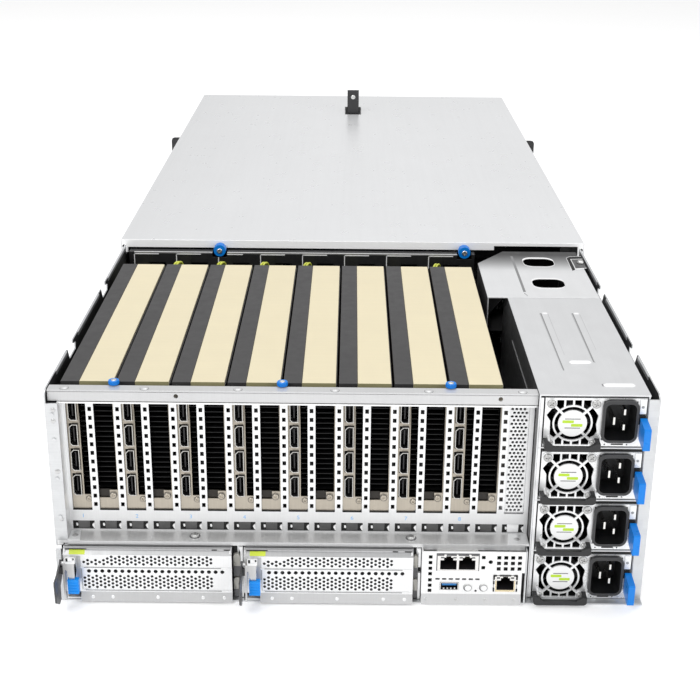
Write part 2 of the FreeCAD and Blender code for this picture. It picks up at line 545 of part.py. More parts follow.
# ---------------------------------------------------------------- main fans
frames = []
for n, (fx, fz) in enumerate(FAN_C, 1):
    f = box(fx - 60, fx + 60, FAN_Y0, FAN_Y1, fz - 60, fz + 60).cut(cyl_y(fx, FAN_Y0 - 1, FAN_Y1 + 1, fz, 57.5))
    arms = [cyl_y(fx, FAN_Y1 - 5.0, FAN_Y1, fz, 20.0)]
    for a in (30, 120, 210, 300):
        s = box(18.0, 59.0, FAN_Y1 - 5.0, FAN_Y1, -2.0, 2.0)
        s.rotate(V(0, 0, 0), V(0, 1, 0), a)
        s.translate(V(fx, 0, fz))
        arms.append(s)
    pin = cyl_y(fx, FAN_Y0 + 6.0, FAN_Y1 - 5.0, fz, 2.0)
    frames.append(fuse(f, pin, *arms))
    hubr = cyl_y(fx, FAN_Y0 + 3.0, FAN_Y1 - 6.0, fz, 21.0)
    bl = []
    for i in range(7):
        b = box(18.0, 56.0, FAN_Y0 + 4.0, FAN_Y1 - 8.0, -1.0, 1.0)
        b.rotate(V(38.0, (FAN_Y0 + FAN_Y1) / 2 - 2.0, 0), V(1, 0, 0), 40)
        b.rotate(V(0, 0, 0), V(0, 1, 0), i * 360.0 / 7)
        b.translate(V(fx, 0, fz))
        bl.append(b)
    rotor = fuse(hubr, *bl).cut(cyl_y(fx, FAN_Y0, FAN_Y1, fz, 2.06))
    export("fan_rotor_%d" % n, rotor.removeSplitter())
wallp = plate_xz(
    rect_xz(-219.9, 212.0, T, 168.0, FAN_Y1),
    [ring_xz(fx, fz, 58.0, FAN_Y1) for fx, fz in FAN_C],
    FAN_Y1,
    FAN_Y1 + T,
)
export("fan_wall", [wallp] + frames)

# ---------------------------------------------------------------- mainboard, heatsinks, memory
posts = [cyl_z(x, yy, T, 6.0, 3.0) for x in (-200.0, -70.0, 70.0, 200.0) for yy in (410.0, 600.0, 800.0)]
export("mainboard", [fuse(box(-212.0, 212.0, 396.0, 820.0, 6.0, 8.0), *posts)])
cpu = []
for x in (-105.0, 105.0):
    pts = [V(x - 45, 520.0, 8.0), V(x + 45, 520.0, 8.0)]
    for j in range(15):
        a = x + 45 - 6.3 * j
        pts += [V(a, 520.0, 118.0), V(a - 1.2, 520.0, 118.0)]
        if j < 14:
            pts += [V(a - 1.2, 520.0, 18.0), V(a - 6.3, 520.0, 18.0)]
    pts[-1] = V(x - 45, 520.0, 118.0)
    cpu.append(face(poly(pts)).extrude(V(0, 110.0, 0)))
export("cpu_heatsinks", cpu)
dimm = []
for x in (-105.0, 105.0):
    for side in (-1, 1):
        for i in range(6):
            xx = x + side * (54.0 + 8.0 * i)
            s = box(xx - 3.0, xx + 3.0, 500.0, 642.0, 8.0, 14.0).cut(box(xx - 0.8, xx + 0.8, 504.0, 638.0, 10.0, 15.0))
            dimm.append(s)
            dimm.append(box(xx - 0.65, xx + 0.65, 504.3, 637.7, 10.0, 41.0))
export("memory_modules", dimm)

# ---------------------------------------------------------------- front panel and power button
hs = []
for j in range(13):
    z = 16.0 + 11.0 * j
    n = 30 if j % 2 else 31
    for i in range(n):
        x = (i - (n - 1) / 2.0) * 12.7
        hs.append(hex_xz(x, z, 6.4, Y_FRONT))
hs.append(ring_xz(209.0, 150.0, 4.1, Y_FRONT))
front = plate_xz(rect_xz(-X_OUT, X_OUT, 0.0, 173.6, Y_FRONT), hs, Y_FRONT, Y_FRONT + 1.6)
boss = cyl_y(209.0, Y_FRONT - 12.0, Y_FRONT, 150.0, 6.0).cut(cyl_y(209.0, Y_FRONT - 10.0, Y_FRONT + 1, 150.0, 4.1))
export("front_panel", fuse(front, boss))
export("power_button", cyl_y(209.0, Y_FRONT - 6.0, Y_FRONT + 3.2, 150.0, 4.04))

# ---------------------------------------------------------------- rack ears
ears = []
for s in (-1, 1):
    r = 4.0
    zt = 166.8
    pts = [(X_OUT, 8.0), (EAR_X, 8.0), (EAR_X, zt - r), (EAR_X - r * 0.29, zt - r * 0.29), (EAR_X - r, zt), (226.4, zt), (226.4, 161.4), (X_OUT, 161.4)]
    fl = plate_xz(
        poly([V(s * x, EAR_Y, z) for x, z in pts]),
        [ring_xz(s * EAR_HOLE_X, z, 3.5, EAR_Y) for z in EAR_HOLE_Z],
        EAR_Y,
        EAR_Y + 2.0,
    )
    xa, xb = sorted((s * X_OUT, s * (X_OUT + 1.3)))
    ears.append(fuse(fl, box(xa, xb, EAR_Y + 2.0, EAR_Y + 42.0, 12.0, 156.0)))
export("rack_ears", ears)

# ---------------------------------------------------------------- top cover with latch
top = plate_xy(
    rect_xy(-COVER_X, COVER_X, COVER_Y0, COVER_Y1, H_TOP - T),
    [rect_xy(-11.6, 11.6, 917.0, 970.0, H_TOP - T)],
    H_TOP - T,
    H_TOP,
)
zl = H_TOP - T
tabs = []
for x in (-128.4, 108.1):
    tabs.append(box(x - 5.2, x + 5.2, COVER_Y0, COVER_Y0 + T, 163.4, 168.0))
parts = [
    box(-COVER_X, -COVER_X + T, COVER_Y0, COVER_Y1, 162.6, zl),
    box(COVER_X - T, COVER_X, COVER_Y0, COVER_Y1, 162.6, zl),
    box(-COVER_X + T, 137.6, COVER_Y0, COVER_Y0 + T, 168.0, zl),
    box(137.6, 219.0, COVER_Y0, COVER_Y0 + T, 172.2, zl),
    box(-COVER_X + T, -218.6, COVER_Y0, COVER_Y0 + T, 162.6, 168.0),
    box(219.0, COVER_X - T, COVER_Y0, COVER_Y0 + T, 162.6, zl),
    box(-COVER_X + T, COVER_X - T, COVER_Y1 - T, COVER_Y1, 164.0, zl),
]
cover = fuse(top, *(parts + tabs))
for x in (-222.3 + 0.5, 222.3 - 0.5):
    cover = cover.cut(cyl_y(x, COVER_Y0 - 1, COVER_Y0 + 3, 168.6, 1.3))
for x in (-128.4, 108.1):
    cover = cover.cut(cyl_y(x, COVER_Y0 - 1, COVER_Y0 + 3, 168.4, 2.3))
export("top_cover", cover.removeSplitter())

tk = []
for x in (-128.4, 108.1):
    head = cyl_y(x, 317.5, 326.0, 168.4, 5.6)
    tk.append(fuse(head, cyl_y(x, 326.0, 332.0, 168.4, 2.0), cyl_y(x, 316.9, 317.5, 168.4, 2.4)))
export("cover_thumbscrews", tk)

dish = box(-11.4, 11.4, 917.2, 969.8, 166.0, H_TOP - 0.1).cut(box(-9.6, 9.6, 918.8, 968.2, 167.4, H_TOP + 1))
dish = fuse(dish, cyl_x(-10.2, 10.2, LATCH_Y, LATCH_Z, 1.5))
export("latch_dish", dish)
lever = fuse(
    box(-8.0, 8.0, LATCH_Y - 2.8, LATCH_Y + 2.8, LATCH_Z, 208.0),
    cyl_x(-9.0, 9.0, LATCH_Y, LATCH_Z, 2.8),
)
lever = lever.cut(cyl_x(-12.0, 12.0, LATCH_Y, LATCH_Z, 1.56)).removeSplitter()
lever = lever.cut(box(-5.0, 5.0, LATCH_Y + 1.2, LATCH_Y + 3.0, 178.0, 194.0))
lock = cyl_y(0.0, LATCH_Y - 3.8, LATCH_Y - 2.8, 199.0, 3.0).cut(box(-2.6, 2.6, LATCH_Y - 3.9, LATCH_Y - 3.3, 198.6, 199.4))
export("cover_latch", [lever, lock])

# ---------------------------------------------------------------- screws and rivets
scr = []
for x, yy in ((-117.5, -7.0), (45.5, -7.0)):
    scr.append(fuse(cyl_z(x, yy, 49.0, 50.2, 3.2), cyl_z(x, yy, 50.2, 50.8, 2.2)))
for k in range(CARD_N):
    c = SLOT0 + SLOT_PITCH * (2 * k + 1)
    scr.append(cyl_y(c + 3.2, 0.4, 1.4, 78.8, 2.4))
for x in (88.6, 100.5):
    scr.append(cyl_y(x, LOW_FACE - 0.9, LOW_FACE, 15.2, 2.8))
for z in (68.0, 100.0, 132.0, 152.0):
    scr.append(cyl_y(-216.3, -13.8, -13.0, z, 1.5))
for s in (-1, 1):
    for z in (30.0, 84.0, 138.0):
        a, b = sorted((s * (X_OUT + 1.3), s * (X_OUT + 2.3)))
        scr.append(cyl_x(a, b, EAR_Y + 24.0, z, 3.0))
export("panel_screws", scr)
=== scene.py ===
import math

import bpy
from mathutils import Matrix, Vector
from mathutils.geometry import tessellate_polygon


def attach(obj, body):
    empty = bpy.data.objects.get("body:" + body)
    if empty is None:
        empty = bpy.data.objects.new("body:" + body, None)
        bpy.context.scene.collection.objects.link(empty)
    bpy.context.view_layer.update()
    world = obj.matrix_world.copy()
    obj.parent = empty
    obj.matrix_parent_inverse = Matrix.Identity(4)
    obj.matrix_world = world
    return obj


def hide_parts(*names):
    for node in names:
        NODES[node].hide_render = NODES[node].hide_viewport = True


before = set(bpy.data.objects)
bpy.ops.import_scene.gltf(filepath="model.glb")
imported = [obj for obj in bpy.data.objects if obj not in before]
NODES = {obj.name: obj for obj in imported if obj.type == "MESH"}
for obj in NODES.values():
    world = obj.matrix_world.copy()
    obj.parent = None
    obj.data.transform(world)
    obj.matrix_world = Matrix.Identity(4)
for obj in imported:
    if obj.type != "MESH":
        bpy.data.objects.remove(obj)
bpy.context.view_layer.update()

Y_MID = 501.2          # mm from the slot panel's face to the middle of the object
PSU_Z = (148.9, 105.7, 62.6, 19.5)
FAN_X, INLET_X = 159.2, 193.0
SLOT0, PITCH = -202.32, 20.32


# ------------------------------------------------------------------ materials
def lin(r, g, b):
    """sRGB 0-255 to linear."""
    out = []
    for c in (r, g, b):
        c = c / 255.0
        out.append(c / 12.92 if c <= 0.04045 else ((c + 0.055) / 1.055) ** 2.4)
    return tuple(out)


def surface(name, base, rough, metal=0.0, var=0.05, var_scale=9.0, rough_var=0.06, grain=900.0, bump=0.04, depth=0.0002,
            brush=None, spangle=0.0, wear=None, spec=0.5, coat=0.0, dust=0.0, emit=0.0, grad=None):
    m = bpy.data.materials.new(name)
    m.use_nodes = True
    nt = m.node_tree
    nt.nodes.clear()
    L = nt.links.new

    def node(kind, x, y):
        n = nt.nodes.new(kind)
        n.location = (x, y)
        return n

    out = node("ShaderNodeOutputMaterial", 900, 0)
    bsdf = node("ShaderNodeBsdfPrincipled", 620, 0)
    L(bsdf.outputs["BSDF"], out.inputs["Surface"])
    bsdf.inputs["Metallic"].default_value = metal
    bsdf.inputs["Specular IOR Level"].default_value = spec
    if emit:
        bsdf.inputs["Emission Color"].default_value = (1.0, 1.0, 1.0, 1.0)
        bsdf.inputs["Emission Strength"].default_value = emit
    if coat:
        bsdf.inputs["Coat Weight"].default_value = coat
        bsdf.inputs["Coat Roughness"].default_value = 0.12
    co = node("ShaderNodeTexCoord", -1200, 0)

    def noise(scale, detail, x, y, vec=None):
        n = node("ShaderNodeTexNoise", x, y)
        n.inputs["Scale"].default_value = scale
        n.inputs["Detail"].default_value = detail
        n.inputs["Roughness"].default_value = 0.55
        L(vec if vec is not None else co.outputs["Object"], n.inputs["Vector"])
        return n

    def remap(src, a, b, lo, hi, x, y):
        n = node("ShaderNodeMapRange", x, y)
        n.inputs["From Min"].default_value = a
        n.inputs["From Max"].default_value = b
        n.inputs["To Min"].default_value = lo
        n.inputs["To Max"].default_value = hi
        L(src, n.inputs["Value"])
        return n.outputs["Result"]

    def mix(fac, a, b, x, y, blend="MIX"):
        n = node("ShaderNodeMix", x, y)
        n.data_type = "RGBA"
        n.blend_type = blend
        if isinstance(fac, float):
            n.inputs["Factor"].default_value = fac
        else:
            L(fac, n.inputs["Factor"])
        ia = [s for s in n.inputs if s.name == "A" and s.type == "RGBA"][0]
        ib = [s for s in n.inputs if s.name == "B" and s.type == "RGBA"][0]
        for sock, v in ((ia, a), (ib, b)):
            if isinstance(v, tuple):
                sock.default_value = (*v, 1.0)
            else:
                L(v, sock)
        return [s for s in n.outputs if s.type == "RGBA"][0]

    lo = tuple(max(0.0, c * (1 - var)) for c in base)
    hi = tuple(min(1.0, c * (1 + var)) for c in base)
    cloud = noise(var_scale, 4.0, -900, 300)
    colour = mix(remap(cloud.outputs["Fac"], 0.3, 0.7, 0.0, 1.0, -650, 300), lo, hi, -420, 300)
    fine = noise(var_scale * 14, 3.0, -900, 60)
    rough_src = remap(fine.outputs["Fac"], 0.3, 0.7, max(0.02, rough - rough_var), min(1.0, rough + rough_var), -420, 60)
    height = noise(grain, 2.0, -900, -220).outputs["Fac"]
    if brush:
        mp = node("ShaderNodeMapping", -1000, -480)
        mp.inputs["Scale"].default_value = brush[0]
        L(co.outputs["Object"], mp.inputs["Vector"])
        line = noise(1.0, 3.0, -780, -480, mp.outputs["Vector"])
        s = brush[1]
        colour = mix(remap(line.outputs["Fac"], 0.35, 0.65, 0.0, 1.0, -560, -480), colour, mix(1.0, colour, (1 - s, 1 - s, 1 - s), -300, 420, "MULTIPLY"), -120, 360)
        add = node("ShaderNodeMath", -420, -300)
        add.operation = "ADD"
        L(height, add.inputs[0])
        L(line.outputs["Fac"], add.inputs[1])
        height = add.outputs[0]
    if spangle:
        vo = node("ShaderNodeTexVoronoi", -900, 560)
        vo.inputs["Scale"].default_value = 150.0
        L(co.outputs["Object"], vo.inputs["Vector"])
        bw = node("ShaderNodeRGBToBW", -700, 560)
        L(vo.outputs["Color"], bw.inputs["Color"])
        colour = mix(remap(bw.outputs["Val"], 0.0, 1.0, 0.0, 1.0, -520, 560), mix(1.0, colour, (1 - spangle,) * 3, -300, 620, "MULTIPLY"), colour, -60, 560)
    if dust:
        d = noise(55.0, 6.0, -900, 800)
        spot = remap(d.outputs["Fac"], 0.62, 0.78, 0.0, dust, -640, 800)
        colour = mix(spot, colour, (0.55, 0.54, 0.52), 60, 700)
    if wear:
        radius, tone, amount = wear
        bv = node("ShaderNodeBevel", -900, -700)
        bv.samples = 4
        bv.inputs["Radius"].default_value = radius
        ge = node("ShaderNodeNewGeometry", -900, -880)
        dt = node("ShaderNodeVectorMath", -680, -760)
        dt.operation = "DOT_PRODUCT"
        L(bv.outputs["Normal"], dt.inputs[0])
        L(ge.outputs["Normal"], dt.inputs[1])
        edge = remap(dt.outputs["Value"], 0.985, 0.80, 0.0, amount, -480, -760)
        gn = noise(260.0, 4.0, -680, -960)
        mul = node("ShaderNodeMath", -240, -800)
        mul.operation = "MULTIPLY"
        L(edge, mul.inputs[0])
        L(remap(gn.outputs["Fac"], 0.35, 0.62, 0.25, 1.0, -460, -960), mul.inputs[1])
        colour = mix(mul.outputs[0], colour, tone, 220, 500)
    if grad:
        # painted shade along one axis: (axis, ((place, factor), ...))
        axis, stops = grad
        sx = node("ShaderNodeSeparateXYZ", -200, 900)
        L(co.outputs["Object"], sx.inputs[0])
        a, b = stops[0][0], stops[-1][0]
        f = remap(sx.outputs[axis], a, b, 0.0, 1.0, 0, 900)
        ramp = node("ShaderNodeValToRGB", 160, 900)
        e = ramp.color_ramp.elements
        e[0].color = (stops[0][1],) * 3 + (1.0,)
        e[1].color = (stops[-1][1],) * 3 + (1.0,)
        for q, v in stops[1:-1]:
            e.new((q - a) / (b - a)).color = (v, v, v, 1.0)
        L(f, ramp.inputs["Fac"])
        colour = mix(1.0, colour, ramp.outputs["Color"], 420, 700, "MULTIPLY")
    L(colour, bsdf.inputs["Base Color"])
    L(rough_src, bsdf.inputs["Roughness"])
    bp = node("ShaderNodeBump", 300, -240)
    bp.inputs["Strength"].default_value = bump
    bp.inputs["Distance"].default_value = depth
    L(height, bp.inputs["Height"])
    L(bp.outputs["Normal"], bsdf.inputs["Normal"])
    return m


M = {}
M["zinc"] = surface("zinc_sheet", (0.67, 0.68, 0.69), 0.36, 0.75, var=0.05, spangle=0.07, brush=((18, 900, 900), 0.04), bump=0.05)
M["white"] = surface("bright_plate", (0.88, 0.885, 0.89), 0.34, 0.45, var=0.025, brush=((1100, 14, 14), 0.03), spangle=0.02, bump=0.03)
# cover sheet: painted shade, slightly darker towards the left side
M["cover"] = surface("cover_sheet", (0.84, 0.847, 0.858), 0.30, 0.45, var=0.02, var_scale=4.0, rough_var=0.03, brush=((240, 4, 240), 0.018), grain=420, bump=0.002, grad=("X", ((-0.2253, 0.93), (-0.15, 0.97), (-0.03, 1.0), (0.2253, 1.0))))
M["bay"] = surface("bay_sheet", (0.75, 0.756, 0.766), 0.36, 0.60, var=0.025, var_scale=6.0, rough_var=0.04, brush=((240, 5, 240), 0.02), grain=420, bump=0.010)
# bridge sheet: painted shade, falling to near black towards the cover's edge
M["bridge"] = surface("bridge_sheet", (0.84, 0.846, 0.856), 0.36, 0.60, var=0.025, var_scale=6.0, rough_var=0.04, brush=((240, 5, 240), 0.02), grain=420, bump=0.010, grad=("Y", ((-0.2512, 1.0), (-0.2424, 0.95), (-0.2351, 0.78), (-0.2278, 0.58), (-0.2204, 0.41), (-0.2129, 0.27), (-0.2053, 0.16), (-0.1976, 0.05))))
# slot panel: painted shade, darker towards the shelf at its foot
M["panel"] = surface("panel_sheet", (0.88, 0.885, 0.89), 0.34, 0.45, var=0.025, brush=((1100, 14, 14), 0.03), spangle=0.02, bump=0.03, grad=("Z", ((0.049, 0.80), (0.066, 0.84), (0.074, 1.0))))
M["edge"] = surface("bright_edge", (0.40, 0.40, 0.405), 0.36, 0.6, var=0.10, var_scale=40, bump=0.03)
M["black_coat"] = surface("black_powder_coat", (0.022, 0.022, 0.024), 0.46, 0.0, var=0.15, grain=1500, bump=0.22, wear=(0.0006, (0.22, 0.22, 0.23), 0.55))
M["card_dark"] = surface("card_shell", (0.046, 0.045, 0.046), 0.42, 0.25, var=0.08, grain=1700, bump=0.10, wear=(0.0007, (0.16, 0.16, 0.17), 0.5))
M["card_gold"] = surface("card_gold", (0.775, 0.695, 0.49), 0.44, 0.20, var=0.025, var_scale=7.0, rough_var=0.05, grain=2600, bump=0.05, brush=((8, 700, 700), 0.02))
# card brackets: painted shade, darker towards the top under the beam
M["bracket"] = surface("bracket_nickel", (0.475, 0.428, 0.358), 0.34, 0.7, var=0.05, brush=((700, 700, 12), 0.06), bump=0.04, grad=("Z", ((0.065, 1.0), (0.085, 0.97), (0.160, 0.75))))
# thin dark strips: painted shade along the bay beads, under the riser ridges and down the cover lip's outer sides
M["shade_line"] = surface("painted_shade_line", (0.24, 0.242, 0.246), 0.42, 0.3, var=0.06, bump=0.02)
M["io_white"] = surface("io_sheet", (0.86, 0.862, 0.862), 0.38, 0.15, var=0.03, brush=((1100, 14, 14), 0.03), bump=0.03)
# pale grey: painted shade beside the bay beads and on the riser face next to the grip
M["soft"] = surface("pale_painted_shade", (0.56, 0.565, 0.572), 0.40, 0.5, var=0.04, bump=0.02)
# the cover's folded lip, painted lighter than the cover sheet as lit
M["lip_white"] = surface("lip_fold_painted_light", (0.985, 0.987, 0.99), 0.45, 0.0, var=0.01, bump=0.02)
# painted highlights on folded edges, hole rims, bead caps and the sides of the hook windows
M["bright"] = surface("painted_highlight", (0.93, 0.932, 0.935), 0.32, 0.15, var=0.02, bump=0.02)
M["umber"] = surface("dark_backplate", (0.020, 0.016, 0.012), 0.45, 0.2, var=0.12, bump=0.05)
M["shell"] = surface("socket_shell", (0.56, 0.55, 0.525), 0.22, 0.95, var=0.04, bump=0.02)
M["black"] = surface("black_moulding", (0.012, 0.012, 0.013), 0.42, 0.0, var=0.2, grain=1600, bump=0.10)
M["socket_in"] = surface("socket_insulator", (0.016, 0.015, 0.017), 0.38, 0.0, var=0.2, grain=1600, bump=0.08)
M["grey"] = surface("grey_moulding", (0.030, 0.030, 0.032), 0.40, 0.0, var=0.08, grain=1500, bump=0.12, wear=(0.0007, (0.14, 0.14, 0.145), 0.6))
M["handle"] = surface("handle_moulding", (0.015, 0.015, 0.016), 0.42, 0.0, var=0.08, grain=1500, bump=0.12, wear=(0.0006, (0.09, 0.09, 0.095), 0.5))
M["dull"] = surface("dull_screw", (0.50, 0.50, 0.495), 0.30, 0.8, var=0.06, bump=0.03)
M["grip"] = surface("grip_moulding", (0.004, 0.28, 0.88), 0.32, 0.0, var=0.05, grain=1300, bump=0.06, spec=0.3)
M["lan"] = surface("lan_shell", (0.80, 0.79, 0.77), 0.25, 0.85, var=0.04, bump=0.02)
M["blue"] = surface("blue_moulding", (0.003, 0.205, 0.70), 0.32, 0.0, var=0.05, grain=1300, bump=0.06, spec=0.35)
M["board"] = surface("board_mask", (0.012, 0.055, 0.03), 0.34, 0.0, var=0.25, var_scale=60, grain=700, bump=0.08, coat=0.3)
M["wire"] = surface("wire_jacket", (0.56, 0.60, 0.07), 0.45, 0.0, var=0.10, grain=900, bump=0.05)
M["fin"] = surface("black_fins", (0.008, 0.008, 0.009), 0.45, 0.4, var=0.15, brush=((6, 800, 800), 0.2), bump=0.06)
M["alu"] = surface("plain_fins", (0.74, 0.75, 0.76), 0.33, 0.9, var=0.05, brush=((500, 8, 500), 0.06), bump=0.04)
M["screw"] = surface("screw_zinc", (0.78, 0.78, 0.77), 0.26, 0.9, var=0.06, bump=0.03)
M["psu"] = surface("psu_sheet", (0.88, 0.885, 0.89), 0.30, 0.5, var=0.03, spangle=0.02, brush=((14, 14, 900), 0.03), bump=0.008)
M["blade"] = surface("inlet_blade", (0.80, 0.79, 0.76), 0.24, 1.0, var=0.05, bump=0.02)
M["gold"] = surface("gold_contact", (0.80, 0.60, 0.24), 0.25, 1.0, var=0.06, bump=0.02)
M["sticker"] = surface("hub_sticker", (0.88, 0.885, 0.88), 0.42, 0.0, var=0.02, grain=1500, bump=0.03)
M["lime"] = surface("lime_print", (0.50, 0.74, 0.03), 0.45, 0.0, var=0.05, grain=1500, bump=0.02)
M["label"] = surface("label_patch", (0.62, 0.74, 0.05), 0.45, 0.0, var=0.05, grain=1200, bump=0.03)
M["ink_blue"] = surface("blue_ink", (0.22, 0.48, 0.80), 0.5, 0.0, var=0.05, grain=1500, bump=0.02)
# dark grey: painted shade in openings, gaps and round screws and domes; also the hub print lines and link lamp windows
M["ink_grey"] = surface("grey_marks_and_painted_shade", (0.12, 0.12, 0.125), 0.5, 0.0, var=0.08, grain=1500, bump=0.02)
# near black: painted shade in holes, gaps and recesses and round screw heads
M["void"] = surface("painted_shade_black", (0.006, 0.006, 0.006), 0.7, 0.0, var=0.2, grain=800, bump=0.05)
M["usb_blue"] = surface("usb_tongue", (0.012, 0.16, 0.44), 0.33, 0.0, var=0.08, bump=0.04)
M["lever"] = surface("lever_steel", (0.60, 0.60, 0.60), 0.32, 0.85, var=0.06, brush=((900, 900, 10), 0.06), bump=0.04)
M["beam"] = surface("beam_sheet", (0.61, 0.612, 0.617), 0.36, 0.35, var=0.06, var_scale=4.0, brush=((1100, 14, 14), 0.03), bump=0.03)
M["lip"] = surface("riser_lip", (0.46, 0.463, 0.468), 0.34, 0.45, var=0.10, var_scale=8.0, brush=((1100, 14, 14), 0.05), bump=0.03)
M["shelf"] = surface("shelf_sheet", (0.67, 0.668, 0.665), 0.38, 0.50, var=0.10, var_scale=5.0, brush=((1100, 14, 14), 0.05), spangle=0.05, bump=0.04)
M["wall_in"] = surface("wall_shade", (0.045, 0.045, 0.047), 0.42, 0.3, var=0.15, var_scale=14, spangle=0.10, bump=0.05)
M["cage_side"] = surface("cage_side", (0.10, 0.10, 0.102), 0.40, 0.4, var=0.12, var_scale=14, spangle=0.08, bump=0.05)
M["leaf"] = surface("lever_leaf", (0.085, 0.085, 0.088), 0.36, 0.5, var=0.25, var_scale=40, brush=((900, 900, 10), 0.12), bump=0.05)
# dark grey: painted shade on the tongues in the hook windows and round the bracket foot screws
M["tongue"] = surface("hook_tongue", (0.12, 0.12, 0.12), 0.38, 0.6, var=0.20, var_scale=70, bump=0.05)
M["beige"] = surface("guide_block", (0.44, 0.43, 0.395), 0.40, 0.1, var=0.06, grain=1400, bump=0.06)
M["sill"] = surface("gold_sill", (0.78, 0.66, 0.42), 0.28, 0.7, var=0.05, bump=0.02)
M["near_gold"] = surface("card_end_shade", (0.34, 0.315, 0.17), 0.46, 0.15, var=0.05, grain=2200, bump=0.05)
M["led"] = surface("led_lens", (0.30, 0.31, 0.32), 0.25, 0.0, var=0.1, bump=0.03, coat=0.5)

CAD_LOOK = {
    "chassis_tub": ("zinc", 0.30), "slot_panel": ("panel", 0.0), "rear_beam": ("beam", 0.0), "beam_thumbscrews": ("blue", 0.35),
    "card_housings": ("card_dark", 0.45), "card_covers": ("card_gold", 0.35), "card_brackets": ("bracket", 0.18), "card_video_sockets": ("shell", 0.12),
    "card_heatsinks": ("fin", 0.0), "card_boards": ("board", 0.0), "card_power_leads": ("wire", 0.0), "slot_blank": ("white", 0.0),
    "card_end_support": ("black", 0.2), "lower_shelf": ("zinc", 0.0), "card_baseboard": ("board", 0.0), "psu_cage": ("bay", 0.3),
    "cable_bridge": ("bridge", 0.3), "power_board": ("board", 0.0), "io_panel": ("io_white", 0.0), "io_sockets": ("lan", 0.15), "io_board": ("board", 0.0),
    "fan_wall": ("black", 0.5), "mainboard": ("board", 0.0), "cpu_heatsinks": ("alu", 0.0), "memory_modules": ("board", 0.0),
    "front_panel": ("black_coat", 0.0), "power_button": ("grey", 0.4), "rack_ears": ("black_coat", 0.4), "top_cover": ("cover", 0.4),
    "cover_thumbscrews": ("blue", 0.4), "latch_dish": ("black", 0.3), "cover_latch": ("grey", 0.6), "panel_screws": ("screw", 0.3),
    "riser_module_left": ("white", 0.0), "riser_module_right": ("white", 0.0), "riser_lever_left": ("lever", 0.3), "riser_lever_right": ("lever", 0.3),
}
for i in (1, 2, 3):
    CAD_LOOK["fan_rotor_%d" % i] = ("black", 0.4)
for i in (1, 2, 3, 4):
    CAD_LOOK["psu_case_%d" % i] = ("psu", 0.15)
    CAD_LOOK["psu_inlet_%d" % i] = ("grey", 0.35)
    CAD_LOOK["psu_handle_%d" % i] = ("handle", 0.7)
    CAD_LOOK["psu_latch_%d" % i] = ("blue", 0.5)
    CAD_LOOK["psu_rotor_%d" % i] = ("black", 0.25)


def soften(o, width):
    """Rounded sheet edges: welds the split mesh, bevels sharp edges and keeps flat faces flat."""
    me = o.data
    if "custom_normal" in me.attributes:
        me.attributes.remove(me.attributes["custom_normal"])
    me.polygons.foreach_set("use_smooth", [True] * len(me.polygons))
    w = o.modifiers.new("weld", "WELD")
    w.merge_threshold = 1e-6
    b = o.modifiers.new("edge", "BEVEL")
    b.width = width / 1000.0
    b.segments = 2
    b.limit_method = "ANGLE"
    b.angle_limit = math.radians(38)
    b.miter_outer = "MITER_ARC"
    n = o.modifiers.new("flat", "WEIGHTED_NORMAL")
    n.weight = 80
    n.keep_sharp = True


for name, (key, width) in CAD_LOOK.items():
    o = NODES[name]
    o.data.materials.clear()
    o.data.materials.append(M[key])
    o.data.polygons.foreach_set("material_index", [0] * len(o.data.polygons))
    if width:
        soften(o, width)


def paint(node, key, test):
    """A second finish on the faces of a CAD node whose middle (mm, y from the slot panel) passes the test."""
    me = NODES[node].data
    me.materials.append(M[key])
    k = len(me.materials) - 1
    for p in me.polygons:
        c = p.center
        if test(c.x * 1000, c.y * 1000 + Y_MID, c.z * 1000, p.normal):
            p.material_index = k


